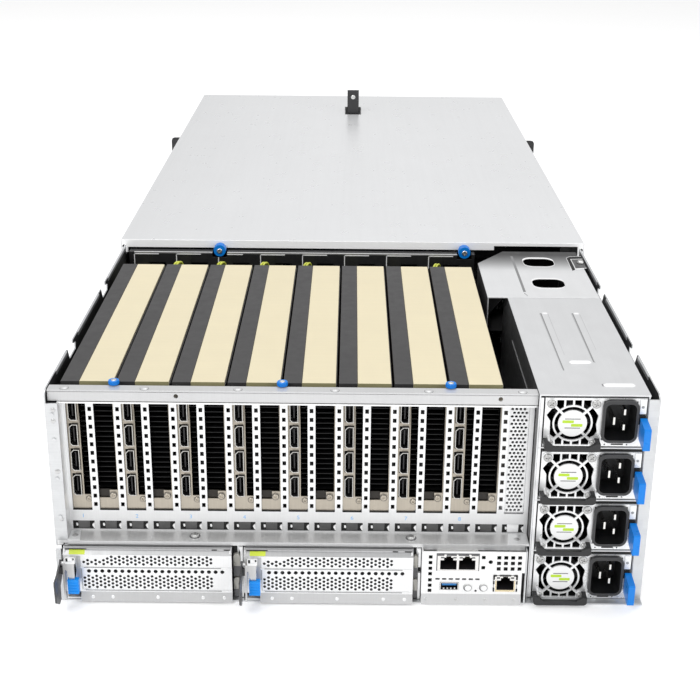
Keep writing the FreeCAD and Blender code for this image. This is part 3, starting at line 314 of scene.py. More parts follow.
# ------------------------------------------------------------------ mesh builder
class Shape:
    def __init__(self):
        self.v, self.f, self.k = [], [], []
        self.mat = 0

    def add(self, verts, faces):
        o = len(self.v)
        self.v += [tuple(p) for p in verts]
        self.f += [tuple(i + o for i in q) for q in faces]
        self.k += [self.mat] * len(faces)

    def loops(self, rings, close=False, cap0=True, cap1=True):
        n = len(rings[0])
        verts = [p for r in rings for p in r]
        faces = []
        for j in range(len(rings) - 1 + (1 if close else 0)):
            a, b = j * n, ((j + 1) % len(rings)) * n
            for i in range(n):
                faces.append((a + i, a + (i + 1) % n, b + (i + 1) % n, b + i))
        if not close:
            if cap0:
                faces.append(tuple(reversed(range(n))))
            if cap1:
                faces.append(tuple(range((len(rings) - 1) * n, len(rings) * n)))
        self.add(verts, faces)

    def box(self, x0, x1, y0, y1, z0, z1):
        v = [(x, y, z) for z in (z0, z1) for y in (y0, y1) for x in (x0, x1)]
        self.add(v, [(0, 2, 3, 1), (4, 5, 7, 6), (0, 1, 5, 4), (2, 6, 7, 3), (0, 4, 6, 2), (1, 3, 7, 5)])

    def lathe(self, c, axis, prof, seg=28):
        """Profile of (radius, height along the axis), turned round the axis through c."""
        ax = Vector(axis).normalized()
        u = ax.orthogonal().normalized()
        w = ax.cross(u)
        c = Vector(c)
        rings = []
        for r, h in prof:
            rings.append([c + ax * h + (u * math.cos(2 * math.pi * i / seg) + w * math.sin(2 * math.pi * i / seg)) * max(r, 0.004) for i in range(seg)])
        self.loops(rings)

    def plate(self, outer, holes, frame3, d0, d1):
        """A flat plate with holes. frame3 = (origin, u, v, n); points are (u, v)."""
        o, u, v, n = (Vector(a) for a in frame3)
        loops = [outer] + list(holes)
        flat = [[Vector((a, b, 0)) for a, b in lp] for lp in loops]
        tri = tessellate_polygon(flat)
        pts = [p for lp in loops for p in lp]
        base = [o + u * a + v * b for a, b in pts]
        verts = [p + n * d0 for p in base] + [p + n * d1 for p in base]
        m = len(pts)
        faces = []
        for t in tri:
            a, b, c = (Vector((*pts[i], 0)) for i in t)
            q = t if (b - a).cross(c - a).z > 0 else (t[0], t[2], t[1])
            faces.append(tuple(reversed(q)))
            faces.append(tuple(i + m for i in q))
        s = 0
        for k, lp in enumerate(loops):
            L = len(lp)
            area = sum(lp[i][0] * lp[(i + 1) % L][1] - lp[(i + 1) % L][0] * lp[i][1] for i in range(L))
            fwd = (area > 0) == (k == 0)
            for i in range(L):
                a, b = s + i, s + (i + 1) % L
                faces.append((a, b, b + m, a + m) if fwd else (b, a, a + m, b + m))
            s += L
        self.add(verts, faces)

    def prism_x(self, pts, x0, x1):
        self.plate([(y, z) for y, z in pts], [], ((0, 0, 0), (0, 1, 0), (0, 0, 1), (1, 0, 0)), x0, x1)

    def tube(self, path, r, seg=10, closed=False):
        rings = []
        n = len(path)
        P = [Vector(p) for p in path]
        last = None
        for i in range(n):
            a = P[(i - 1) % n] if (closed or i > 0) else P[i]
            b = P[(i + 1) % n] if (closed or i < n - 1) else P[i]
            t = (b - a).normalized()
            if last is None:
                u = t.orthogonal().normalized()
            else:
                u = (last - t * last.dot(t)).normalized()
            last = u
            w = t.cross(u)
            rings.append([P[i] + (u * math.cos(2 * math.pi * k / seg) + w * math.sin(2 * math.pi * k / seg)) * r for k in range(seg)])
        self.loops(rings, close=closed)

    def cross_screw(self, c, axis, r, h, turn=0.4, drive=True, seg=24):
        """Pan head screw with a cross recess."""
        ax = Vector(axis).normalized()
        u0 = ax.orthogonal().normalized()
        w0 = ax.cross(u0)
        u = u0 * math.cos(turn) + w0 * math.sin(turn)
        w = ax.cross(u)
        c = Vector(c)
        prof = [(r, 0.0), (r, h * 0.45), (r * 0.93, h * 0.78), (r * 0.78, h)]
        rings = [[c + ax * hh + (u * math.cos(2 * math.pi * i / seg) + w * math.sin(2 * math.pi * i / seg)) * rr for i in range(seg)] for rr, hh in prof]
        self.loops(rings, cap1=False)
        top = [(r * 0.78 * math.cos(2 * math.pi * i / seg), r * 0.78 * math.sin(2 * math.pi * i / seg)) for i in range(seg)]
        a, b = r * 0.13, r * 0.55
        cross = [(a, a), (a, b), (-a, b), (-a, a), (-b, a), (-b, -a), (-a, -a), (-a, -b), (a, -b), (a, -a), (b, -a), (b, a)]
        flat = [[Vector((p, q, 0)) for p, q in lp] for lp in (top, cross)]
        tri = tessellate_polygon(flat)
        pts = top + cross
        verts = [c + ax * h + u * p + w * q for p, q in pts] + [c + ax * (h * 0.35) + u * p * 0.7 + w * q * 0.7 for p, q in cross]
        faces = []
        for t in tri:
            A, B, C = (Vector((*pts[i], 0)) for i in t)
            faces.append(t if (B - A).cross(C - A).z > 0 else (t[0], t[2], t[1]))
        n0, n1 = seg, seg + 12
        for i in range(12):
            j = (i + 1) % 12
            faces.append((n0 + j, n0 + i, n1 + i, n1 + j))
        faces.append(tuple(n1 + i for i in range(12)))
        self.add(verts, faces)

    def done(self, name, body, keys, bevel=0.0, smooth=True, angle=35.0):
        me = bpy.data.meshes.new(name)
        me.from_pydata([(x / 1000.0, (y - Y_MID) / 1000.0, z / 1000.0) for x, y, z in self.v], [], self.f)
        me.validate()
        keys = [keys] if isinstance(keys, str) else keys
        for k in keys:
            me.materials.append(M[k])
        if len(me.polygons) == len(self.k):
            me.polygons.foreach_set("material_index", self.k)
        o = bpy.data.objects.new(name, me)
        bpy.context.scene.collection.objects.link(o)
        if smooth:
            me.polygons.foreach_set("use_smooth", [True] * len(me.polygons))
            me.set_sharp_from_angle(angle=math.radians(angle))
        if bevel:
            b = o.modifiers.new("edge", "BEVEL")
            b.width = bevel / 1000.0
            b.segments = 2
            b.limit_method = "ANGLE"
            b.angle_limit = math.radians(40)
            n = o.modifiers.new("flat", "WEIGHTED_NORMAL")
            n.weight = 80
        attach(o, body)
        return o


XZ = lambda y: ((0, y, 0), (1, 0, 0), (0, 0, 1), (0, -1, 0))      # plate seen from the rear, growing to the rear
XY = lambda z: ((0, 0, z), (1, 0, 0), (0, 1, 0), (0, 0, 1))       # plate seen from above, growing up


def circle(cx, cy, r, n=28, a0=0.0):
    return [(cx + r * math.cos(a0 + 2 * math.pi * i / n), cy + r * math.sin(a0 + 2 * math.pi * i / n)) for i in range(n)]


def rect(x0, x1, y0, y1):
    return [(x0, y0), (x1, y0), (x1, y1), (x0, y1)]


def rrect(x0, x1, y0, y1, r, n=6):
    pts = []
    for cx, cy, a in ((x1 - r, y0 + r, -90), (x1 - r, y1 - r, 0), (x0 + r, y1 - r, 90), (x0 + r, y0 + r, 180)):
        for i in range(n + 1):
            t = math.radians(a + 90.0 * i / n)
            pts.append((cx + r * math.cos(t), cy + r * math.sin(t)))
    return pts


# ------------------------------------------------------------------ second finishes on CAD nodes
def near(a, b, t):
    return abs(a - b) < t


BLADES = ((-3.8, 1.9, 2.9), (3.5, 9.0, 2.2), (3.5, -3.0, 2.2))


def on_blade(x, y, z, zc):
    return any(abs(x - INLET_X - bx) < 0.75 and abs(z - zc - bz) < hh + 0.05 and -12.5 < y < 5.9 for bx, bz, hh in BLADES)


for i, zc in enumerate(PSU_Z, 1):
    paint("psu_inlet_%d" % i, "blade", lambda x, y, z, n, zc=zc: on_blade(x, y, z, zc))
    paint("psu_inlet_%d" % i, "black", lambda x, y, z, n, zc=zc: y > -15.9 and abs(x - INLET_X) < 11.15 and zc - 12.05 < z < zc + 16.85 and not on_blade(x, y, z, zc))
    # inside of each supply's case: painted shade
    paint("psu_case_%d" % i, "void", lambda x, y, z, n, zc=zc: -11.7 < y < 199.0 and 138.5 < x < 211.0 and zc - 17.6 < z < zc + 19.8)
for side, x0 in (("left", -215.0), ("right", -79.9)):
    paint("riser_lever_" + side, "grip", lambda x, y, z, n, x0=x0: x0 + 4.55 < x < x0 + 12.75 and 12.85 < z < 24.85 and -31.25 < y < -26.75 and not (x0 + 5.55 < x < x0 + 9.85 and -29.65 < y < -28.35))
    # the lever's side cheek: painted shade
    paint("riser_lever_" + side, "leaf", lambda x, y, z, n, x0=x0: x < x0 + 1.55)
# top of the shelf: painted shade, greyer than the panel sheet
paint("slot_panel", "shelf", lambda x, y, z, n: 48.9 < z < 49.1 and n.z > 0.5)
paint("chassis_tub", "wall_in", lambda x, y, z, n: abs(abs(x) - 220.3) < 0.05 and abs(n.x) > 0.9 and z > 1.3)
# left walls of the cage and the bridge: painted shade
paint("psu_cage", "cage_side", lambda x, y, z, n: x < 134.25 and n.x < -0.9)
paint("cable_bridge", "cage_side", lambda x, y, z, n: x < 117.05 and n.x < -0.9)
paint("card_covers", "near_gold", lambda x, y, z, n: y < 4.95 and n.y < -0.9)
paint("cover_latch", "screw", lambda x, y, z, n: y < 923.15 and 195.9 < z < 202.1)
paint("cover_thumbscrews", "screw", lambda x, y, z, n: y < 317.45 or y > 326.05)
paint("beam_thumbscrews", "screw", lambda x, y, z, n: z < 170.85)
# feet of the card brackets: painted shade
paint("card_brackets", "ink_grey", lambda x, y, z, n: z < 60.0)
paint("panel_screws", "zinc", lambda x, y, z, n: x < -212.0 and y < 0.0)
paint("card_baseboard", "black", lambda x, y, z, n: z > 50.65)
# sloped lower lip of the I/O panel: painted shade in a darker grey
paint("io_panel", "beam", lambda x, y, z, n: y < -21.05 and z < 9.6 and n.y < -0.5)
paint("io_sockets", "socket_in", lambda x, y, z, n: 67.9 < x < 81.0 and 13.2 < z < 19.2 and y > -20.8)
paint("io_sockets", "usb_blue", lambda x, y, z, n: 68.85 < x < 80.05 and 16.45 < z < 18.35 and y > -20.5)
paint("io_sockets", "socket_in", lambda x, y, z, n: y > -21.2 and (
    (66.9 < x < 79.6 or 80.9 < x < 93.6) and 30.8 < z < 42.6 or (109.9 < x < 123.1 and 13.5 < z < 25.2)))
paint("card_video_sockets", "socket_in", lambda x, y, z, n: 1.0 < y < 13.9 and abs(((x - SLOT0 + 2.7 + 20.32) % 40.64) - 20.32) < 2.0)
# inner faces of the slot openings: painted shade
paint("slot_panel", "ink_grey", lambda x, y, z, n: 0.02 < y < 1.18 and abs(n.y) < 0.5 and 50.0 < z < 160.0 and -211.0 < x < 133.0)
# inner faces of the I/O panel's holes and slits: painted shade
paint("io_panel", "ink_grey", lambda x, y, z, n: -20.98 < y < -19.82 and abs(n.y) < 0.5 and 56.0 < x < 127.0 and 8.0 < z < 45.0)
# front faces of the cover: painted lighter than the cover sheet, as lit
paint("top_cover", "white", lambda x, y, z, n: y < 328.85 and n.y < -0.9)
paint("memory_modules", "black", lambda x, y, z, n: z < 14.05)
paint("power_board", "black", lambda x, y, z, n: y < 205.95)
for side in ("left", "right"):
    paint("riser_module_" + side, "lip", lambda x, y, z, n: -21.0 < y < -15.7 and 40.45 < z < 45.5 or z > 45.35 and n.z > 0.9)
    # sloped lower lip: painted shade in a darker grey
    paint("riser_module_" + side, "beam", lambda x, y, z, n: y < -21.05 and z < 8.7 and n.y < -0.5)
    # inner faces of the face's holes: painted shade
    paint("riser_module_" + side, "void", lambda x, y, z, n: -21.0 < y < -20.0 and abs(n.y) < 0.5 and 9.0 < z < 40.0)
    paint("riser_module_" + side, "board", lambda x, y, z, n: 59.9 < y < 230.1 and 5.9 < z < 7.7)
    paint("riser_module_" + side, "black", lambda x, y, z, n: 89.9 < y < 220.1 and 7.65 < z < 19.1)

# ------------------------------------------------------------------ details on the chassis
# raised domes on the beam, each with a ring of painted shadow round it
s = Shape()
for x, y in ((-207.7, -6.6), (-149.8, -6.6), (-82.4, -6.6), (-12.4, -6.6), (55.2, -6.6), (122.9, -6.6)):
    s.mat = 0
    s.lathe((x, y, 170.35), (0, 0, 1), [(3.1, 0.0), (3.0, 0.35), (2.4, 0.8), (1.4, 1.05), (0.0, 1.12)], 24)
    s.mat = 1
    s.plate(circle(x, y, 3.3, 24), [], XY(170.4), 0.0, 0.05)
s.done("beam_domes", "chassis", ["beam", "ink_grey"])

s = Shape()


def bead(s, x0, y0, x1, y1, z, w, h):
    """A pressed bead: raised track with sloped sides and round ends."""
    a, b = Vector((x0, y0)), Vector((x1, y1))
    t = (b - a).normalized()
    n = Vector((-t.y, t.x))

    def outline(r):
        pts = []
        for c, base in ((b, math.atan2(n.y, n.x) - math.pi), (a, math.atan2(n.y, n.x))):
            for i in range(9):
                q = base + math.pi * i / 8
                pts.append((c.x + r * math.cos(q), c.y + r * math.sin(q)))
        return pts

    rings = [[(px, py, z + hh) for px, py in outline(r)] for r, hh in ((w / 2, -0.2), (w / 2, 0.0), (w / 2 * 0.80, h * 0.55), (w / 2 * 0.55, h), (w / 2 * 0.45, h))]
    s.loops(rings)


# the two raised beads and the far-end caps in the painted highlight colour; thin dark strips are painted shade along
# the beads' left sides, paler strips are lighter painted shade beside them
s.mat = 1
bead(s, 167.4, 46.2, 179.0, 46.2, 171.6, 5.4, 0.8)
bead(s, 185.8, 4.4, 203.6, 4.4, 171.6, 5.6, 0.8)
for x in (161.0, 187.4):
    s.plate(rrect(x - 2.1, x + 2.1, 147.4, 150.4, 1.2, 4), [], XY(171.6), 0.0, 0.3)
s.mat = 2
s.plate([(157.2, 149.2), (158.2, 149.2), (158.6, 31.0), (158.2, 29.6), (157.8, 31.0)], [], XY(171.6), 0.0, 0.08)
s.plate([(183.8, 149.6), (184.8, 149.6), (184.2, 47.6), (184.8, 46.0), (183.2, 46.6)], [], XY(171.6), 0.0, 0.08)
s.plate([(181.8, 5.6), (183.0, 6.6), (182.8, 2.0), (182.0, 2.6)], [], XY(171.6), 0.0, 0.08)
s.plate([(149.8, 299.4), (152.1, 299.4), (152.0, 201.0), (149.8, 200.6)], [], XY(171.6), 0.0, 0.08)
s.plate([(149.8, 198.0), (150.6, 197.6), (152.6, 191.0), (151.9, 191.2)], [], XY(171.6), 0.0, 0.08)
s.mat = 3
s.plate([(156.3, 149.0), (157.2, 149.2), (157.8, 31.0), (157.3, 36.0)], [], XY(171.6), 0.0, 0.06)
s.plate([(182.9, 149.4), (183.8, 149.6), (183.3, 47.0), (182.7, 52.0)], [], XY(171.6), 0.0, 0.06)
s.plate([(163.2, 147.0), (163.7, 147.0), (163.5, 60.0), (163.2, 60.0)], [], XY(171.6), 0.0, 0.06)
s.plate([(189.8, 147.0), (190.3, 147.0), (189.8, 70.0), (189.5, 70.0)], [], XY(171.6), 0.0, 0.06)
s.done("bay_beads", "chassis", ["bay", "bright", "shade_line", "soft"], smooth=True, angle=50)

# rolled rims of the two cable holes, painted as highlights, wider on the far side
s = Shape()
for x0, x1, y0, y1, far in ((159.6, 188.8, 268.8, 295.6, 292.0), (160.4, 189.6, 210.6, 237.4, 234.4)):
    outer = rrect(x0, x1, y0, y1, 9.0, 8)
    inner = rrect(x0 + 0.3, x1 - 0.3, y0 + 0.7, far, 8.7, 8)
    s.plate(outer, [inner], XY(171.6), 0.0, 0.35)
s.done("cable_hole_rims", "chassis", "bright")

# recessed corner of the bridge sheet: painted shade in the recess and the gap on two sides, painted highlights along
# its edges, lapped plate in painted shade, painted shadow under the screw
s = Shape()
s.plate([(202.6, 295.3), (206.0, 299.2), (217.4, 300.2), (217.3, 292.8), (205.6, 291.4), (205.4, 262.1), (202.2, 258.8)], [], XY(171.6), 0.0, 0.12)
s.mat = 1
s.plate([(202.3, 295.5), (205.9, 299.6), (217.4, 300.6), (217.4, 300.2), (206.0, 299.2), (202.6, 295.3), (202.2, 258.8), (201.9, 258.8)], [], XY(171.6), 0.0, 0.3)
s.plate([(205.7, 291.3), (217.3, 292.6), (217.2, 292.1), (206.2, 290.8), (206.3, 264.2), (216.6, 266.4), (216.7, 265.9), (205.9, 263.5)], [], XY(171.6), 0.0, 0.5)
s.mat = 2
s.plate([(206.4, 290.6), (217.2, 291.9), (216.6, 266.6), (206.6, 264.4)], [], XY(171.6), 0.0, 0.2)
s.mat = 0
s.plate(circle(213.2, 279.8, 3.5, 24), [], XY(171.8), 0.0, 0.06)
s.mat = 3
s.cross_screw((213.3, 280.8, 171.8), (0, 0, 1), 2.8, 2.4)
s.done("bay_corner_bracket", "chassis", ["void", "bright", "cage_side", "screw"])

# ledge on the cage's side
s = Shape()
s.box(133.7, 134.2, 2.0, 141.8, 148.5, 149.8)
s.done("cage_ledge", "chassis", "edge")

# rivets: left flange, shelf ends
s = Shape()
for x, y, z, r in ((-215.4, -13.0, 155.8, 1.8), (-215.8, -13.0, 147.0, 1.8), (-215.6, -13.0, 105.9, 2.0), (-215.6, -13.0, 66.1, 1.9)):
    s.lathe((x, y, z), (0, -1, 0), [(r, 0.0), (r * 0.95, 0.3), (r * 0.6, 0.75), (0.0, 0.9)], 20)
for x, y, r in ((-207.5, -8.0, 2.6), (125.0, -8.0, 2.6)):
    s.lathe((x, y, 49.0), (0, 0, 1), [(r, 0.0), (r * 0.95, 0.35), (r * 0.6, 0.9), (0.0, 1.05)], 20)
for x, z in ((57.0, 5.4), (80.0, 5.4), (102.0, 5.4), (123.6, 5.4)):
    s.lathe((x, -22.35, z), (0, -1, 0.33), [(1.4, 0.0), (1.3, 0.25), (0.8, 0.5), (0.0, 0.55)], 16)
s.done("panel_rivets", "chassis", "lever")

# end tabs of the shelf, lapped over it at a slant
s = Shape()
s.plate([(-211.9, -15.0), (-202.6, -15.0), (-204.6, -0.2), (-211.9, -0.2)], [], XY(49.0), 0.0, 0.45)
s.plate([(133.4, -15.0), (117.4, -15.0), (119.4, -0.2), (133.4, -0.2)], [], XY(49.0), 0.0, 0.45)
s.done("shelf_end_tabs", "chassis", "white", bevel=0.12)

# bracket foot screws, each with a ring of painted shadow, and tongues seen in the hook windows
s = Shape()
for k in range(8):
    c0 = SLOT0 + 2 * PITCH * k
    s.mat = 0
    s.cross_screw((c0 + 5.2, 1.4, 75.6), (0, -1, 0), 2.2, 0.9, turn=0.3 + k)
    s.cross_screw((c0 + PITCH + 3.2, 0.45, 78.8), (0, -1, 0), 2.4, 0.7, turn=0.9 + 1.3 * k)
    s.mat = 1
    s.plate(circle(c0 + 5.2, 75.6, 2.55, 20), [circle(c0 + 5.2, 75.6, 2.15, 20)], XZ(1.4), 0.0, 0.1)
    s.plate(circle(c0 + PITCH + 3.2, 78.8, 2.75, 20), [circle(c0 + PITCH + 3.2, 78.8, 2.35, 20)], XZ(0.45), 0.0, 0.1)
s.done("bracket_screws", "chassis", ["bracket", "tongue"])
s = Shape()
for k in range(8):
    c = SLOT0 + PITCH * (2 * k + 1)
    s.plate(rect(c - 7.2, c + 1.4, 77.0, 83.2), [], XZ(3.2), 0.0, 0.5)
s.plate(rect(110.6, 114.8, 74.0, 159.5), [], XZ(1.6), 0.0, 0.3)
# painted shadow round the two shelf screws
s.mat = 1
for x in (-117.5, 45.5):
    s.plate(circle(x, -7.0, 4.1, 28), [], XY(49.0), 0.0, 0.06)
s.done("card_notch_plates", "chassis", ["umber", "ink_grey"])

# tongues in the hook windows in painted shade, painted shade behind the windows and along the slot bottoms, painted
# highlights at the window sides
s = Shape()
for k in range(17):
    c = SLOT0 + PITCH * k
    s.mat = 2 if k == 16 else 0
    s.plate([(c - 4.2, 49.6), (c + 4.2, 49.6), (c + 4.4, 57.2), (c - 4.4, 57.2)], [], XZ(1.45), 0.0, 0.6)
    s.mat = 2
    s.plate([(c - 6.0, 54.9), (c - 4.7, 54.9), (c - 4.4, 53.2), (c - 5.0, 52.4), (c - 5.9, 52.9)], [], XZ(0.85), 0.0, 0.4)
    s.plate([(c + 8.1, 55.4), (c + 6.6, 54.4), (c + 6.2, 53.4), (c + 6.8, 52.2), (c + 7.4, 51.0), (c + 8.1, 50.4)], [], XZ(1.2), 0.0, 1.1)
    s.mat = 1
    s.plate(rect(c - 8.1, c + 8.1, 49.2, 57.3), [], XZ(1.2), 0.0, 0.1)
    if k < 16:
        s.plate(rect(c - 7.3, c + 7.3, 66.5, 67.2), [], XZ(1.2), 0.0, 1.1)
s.done("hook_tongues", "chassis", ["tongue", "void", "bright"], bevel=0.2)

# plain slot numbers
for k in range(8):
    cu = bpy.data.curves.new("slot_number_%d" % (k + 1), "FONT")
    cu.body = str(k + 1)
    cu.size = 0.0046
    cu.align_x = "CENTER"
    cu.align_y = "CENTER"
    cu.extrude = 0.00003
    tmp = bpy.data.objects.new("tmp_number", cu)
    bpy.context.scene.collection.objects.link(tmp)
    bpy.context.view_layer.update()
    me = bpy.data.meshes.new_from_object(tmp.evaluated_get(bpy.context.evaluated_depsgraph_get()))
    bpy.data.objects.remove(tmp)
    me.transform(Matrix.Translation(((SLOT0 + 2 * PITCH * k) / 1000.0, (-0.03 - Y_MID) / 1000.0, 0.0615)) @ Matrix.Rotation(math.radians(90), 4, "X"))
    me.materials.clear()
    me.materials.append(M["ink_blue"])
    o = bpy.data.objects.new("slot_number_%d" % (k + 1), me)
    bpy.context.scene.collection.objects.link(o)
    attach(o, "chassis")

# ------------------------------------------------------------------ power supplies
for i, zc in enumerate(PSU_Z, 1):
    body = "psu_%d" % i
    s = Shape()
    s.plate(circle(FAN_X, zc, 10.2, 48), [], XZ(-13.0), 0.0, 0.16)
    s.mat = 1
    for da, db, dc, dd in ((-7.4, 0.8, 0.3, 2.5), (-1.0, 7.2, -2.5, -0.3)):
        s.plate(rrect(FAN_X + da, FAN_X + db, zc + dc, zc + dd, 0.5, 3), [], XZ(-13.16), 0.0, 0.06)
    s.mat = 2
    for dz in (3.6, -3.6):
        s.plate(rect(FAN_X - 5.6, FAN_X + 5.6, zc + dz - 0.32, zc + dz + 0.32), [], XZ(-13.16), 0.0, 0.05)
    s.done("psu_hub_disc_%d" % i, body, ["sticker", "lime", "ink_grey"])
    s = Shape()
    for x, dz, r, t in ((143.1, 16.0, 3.3, 0.5), (175.2, 16.0, 3.3, 1.1), (143.7, -14.9, 2.3, 0.2), (174.4, -14.9, 2.3, 0.8)):
        s.mat = 0
        s.cross_screw((x, -13.85, zc + dz), (0, -1, 0), r, 1.2, turn=t + i)
        # painted shadow ring round each screw
        s.mat = 1
        s.plate(circle(x, zc + dz, r + 0.45, 24), [], XZ(-13.8), 0.0, 0.06)
    s.done("psu_corner_screws_%d" % i, body, ["dull", "void"])
    s = Shape()
    s.lathe((208.8, -14.0, zc + 13.9), (0, -1, 0), [(1.1, 0.0), (1.05, 0.25), (0.7, 0.55), (0.0, 0.65)], 18)
    s.done("psu_led_%d" % i, body, "led")
    # small dark marks on the front rim, drawn in painted shade black
    s = Shape()
    s.plate(rrect(188.0, 197.0, zc - 16.9, zc - 15.8, 0.5, 3), [], XZ(-13.0), 0.0, 0.12)
    for x in (183.4, 199.6):
        s.plate(circle(x, zc - 16.6, 0.55, 14), [], XZ(-13.0), 0.0, 0.1)
    s.plate(rect(206.7, 211.5, zc - 0.4, zc + 8.2), [], XZ(-13.0), 0.0, 0.12)
    s.done("psu_rim_marks_%d" % i, body, "void")

# dark gaps between the supplies in painted shade, bright edge of the cage beside them as a painted highlight
s = Shape()
for zc in PSU_Z[:3]:
    s.plate(rect(139.0, 211.5, zc - 22.7, zc - 20.5), [], XZ(-12.0), 0.0, 0.1)
s.plate(rect(139.0, 211.5, 169.3, 170.3), [], XZ(-12.0), 0.0, 0.1)
s.mat = 1
s.plate(rect(135.5, 137.6, 2.0, 169.0), [], XZ(-12.6), 0.0, 0.1)
s.plate([(-220.2, 44.2), (-215.6, 44.2), (-215.6, 45.8), (-212.0, 45.8), (-212.0, 48.0), (-220.2, 48.0)], [], XZ(-12.8), 0.0, 0.2)
s.plate(rect(-220.2, -215.7, 44.0, 47.4), [], XZ(-18.5), 0.0, 0.2)
s.done("supply_gaps", "chassis", ["void", "white"])

# ------------------------------------------------------------------ riser modules
for side, x0, x1 in (("left", -215.0, -88.9), ("right", -79.9, 47.0)):
    body = "riser_" + side
    s = Shape()
    # sloped lip frame: follows the slanted top edge of the face
    up = Vector((0, 4.2, 5.0)).normalized()
    nn = Vector((0, -5.0, 4.2)).normalized()
    fr = ((0, -21.0, 40.4), (1, 0, 0), tuple(up), tuple(nn))
    s.plate(rrect(x0 + 4.6, x0 + 16.4, 0.3, 5.6, 0.4, 3), [], fr, 0.0, 0.14)
    s.done("riser_label_" + side, body, "label")
    s = Shape()
    for x in (x0 + 21.0, x0 + 36.0, x0 + 70.0, x1 - 22.0, x1 - 6.0):
        s.lathe((x, -22.4, 4.9), (0, -1, 0.37), [(1.4, 0.0), (1.3, 0.25), (0.8, 0.5), (0.0, 0.55)], 18)
    s.done("riser_rivets_" + side, body, "white")
    s = Shape()
    # painted shade lines under the top lip and painted shadow beside the lever strap
    for xa, xb in ((x0 + 2.1, x0 + 18.0), (x0 + 111.3, x0 + 115.3), (x0 + 120.3, x1 - 0.8)):
        s.plate(rect(xa, xb, 44.45, 45.35), [], XZ(-20.0), 0.0, 0.06)
    s.plate([(x0 + 7.2, 20.5), (x0 + 8.5, 20.5), (x0 + 9.6, 27.0), (x0 + 8.8, 35.5), (x0 + 7.6, 35.5)], [], XZ(-21.0), 0.0, 0.1)
    # painted shade round the rims of the punched holes
    for z, shift, first, last in [(38.9, 0, 3, 15), (37.4, 1, 3, 16), (35.85, 0, 0, 15), (34.25, 1, 0, 16), (32.65, 0, 0, 15)] + [(22.2 - 1.6 * i, i % 2, 0, 16 if i % 2 else 15) for i in range(7)]:
        for i in range(first, last + 1):
            xc = x0 + (15.4 if shift else 18.4) + 5.95 * i
            s.plate(circle(xc, z, 1.10, 12), [circle(xc, z, 0.90, 12)], XZ(-21.0), 0.0, 0.04)
    s.mat = 1
    # painted shadow lines under the two ridges and beside the strap
    for z in (30.1, 10.3):
        s.plate(rect(x0 + 15.5, x1 - 8.0, z - 0.36, z + 0.30), [], XZ(-21.7), 0.0, 0.05)
    s.plate(rect(x0 + 13.2, x0 + 13.6, 10.5, 28.5), [], XZ(-21.0), 0.0, 0.08)
    s.mat = 2
    # pale painted shade on the face beside the grip
    s.plate(rect(x0 + 9.9, x0 + 13.2, 20.0, 39.5), [], XZ(-21.0), 0.0, 0.05)
    s.done("riser_face_shade_" + side, body, ["void", "shade_line", "soft"])
    # lever head: fold with two slots, painted shade behind the slots, and the roll between them
    s = Shape()
    s.plate(rrect(x0 + 3.4, x0 + 10.8, 37.7, 43.2, 0.5, 3), [rect(x0 + 4.0, x0 + 5.6, 39.6, 42.7), rect(x0 + 8.9, x0 + 10.3, 40.9, 42.7)], XZ(-28.4), 0.0, 1.2)
    s.mat = 1
    s.plate(rect(x0 + 3.6, x0 + 10.6, 38.4, 43.0), [], XZ(-28.2), 0.0, 0.9)
    s.mat = 0
    s.lathe((x0 + 5.9, -29.6, 41.4), (1, 0, 0), [(0.0, 0.0), (1.2, 0.05), (1.5, 0.3), (1.5, 2.9), (1.2, 3.2), (0.0, 3.25)], 20)
    s.done("lever_head_" + side, "riser_lever_" + side, ["white", "void"], bevel=0.1)
    s = Shape()
    for dz in (15.0, 17.4, 19.8, 22.2):
        s.tube([(x0 + 5.2, -31.2, dz), (x0 + 12.3, -31.2, dz)], 0.3, 8)
    s.done("grip_ribs_" + side, "riser_lever_" + side, "grip")

# guide posts between the modules, with painted shade between and behind the blocks
s = Shape()
for xa, xb, xw in ((-88.0, -83.0, -80.8), (47.6, 50.6, 52.8)):
    s.mat = 0
    r = (xb - xa) * 0.42
    for z0, z1 in ((29.2, 39.4), (9.1, 19.0)):
        s.plate([(xa, z0), (xb, z0), (xb, z1 - r)] + [(xb - r + r * math.cos(t * math.pi / 12), z1 - r + r * math.sin(t * math.pi / 12)) for t in range(7)]
                + [(xa + r + r * math.cos(t * math.pi / 12), z1 - r + r * math.sin(t * math.pi / 12)) for t in range(6, 13)] + [(xa, z1 - r)], [], XZ(-14.0), 0.0, 2.6)
    s.mat = 1
    for z0, z1 in ((20.0, 29.0), (2.0, 8.9)):
        s.plate(rect(xa + 0.1, xb - 0.1, z0, z1), [], XZ(-14.0), 0.0, 2.0)
    s.mat = 2
    s.plate(rect(xa, xw, 1.7, 45.4), [], XZ(-13.4), 0.0, 0.5)
    s.mat = 3
    s.plate(rect(xb + 0.4, xw, 1.7, 24.5) , [], XZ(-14.0), 0.0, 2.4)
    s.plate([(xb + 0.4, 29.5), (xw, 29.5), (xw, 45.4), (xb - 1.0, 45.4), (xb + 0.4, 41.0)], [], XZ(-14.0), 0.0, 2.4)
s.done("module_guides", "chassis", ["beige", "ink_grey", "void", "white"], bevel=0.2)

# ------------------------------------------------------------------ I/O panel
s = Shape()
for x in (88.6, 100.5):
    s.lathe((x, -21.9, 15.2), (0, -1, 0), [(2.45, 0.0), (2.4, 0.25), (2.1, 0.5), (1.1, 0.62), (0.0, 0.62)], 28)
s.done("io_standoffs", "chassis", "white")
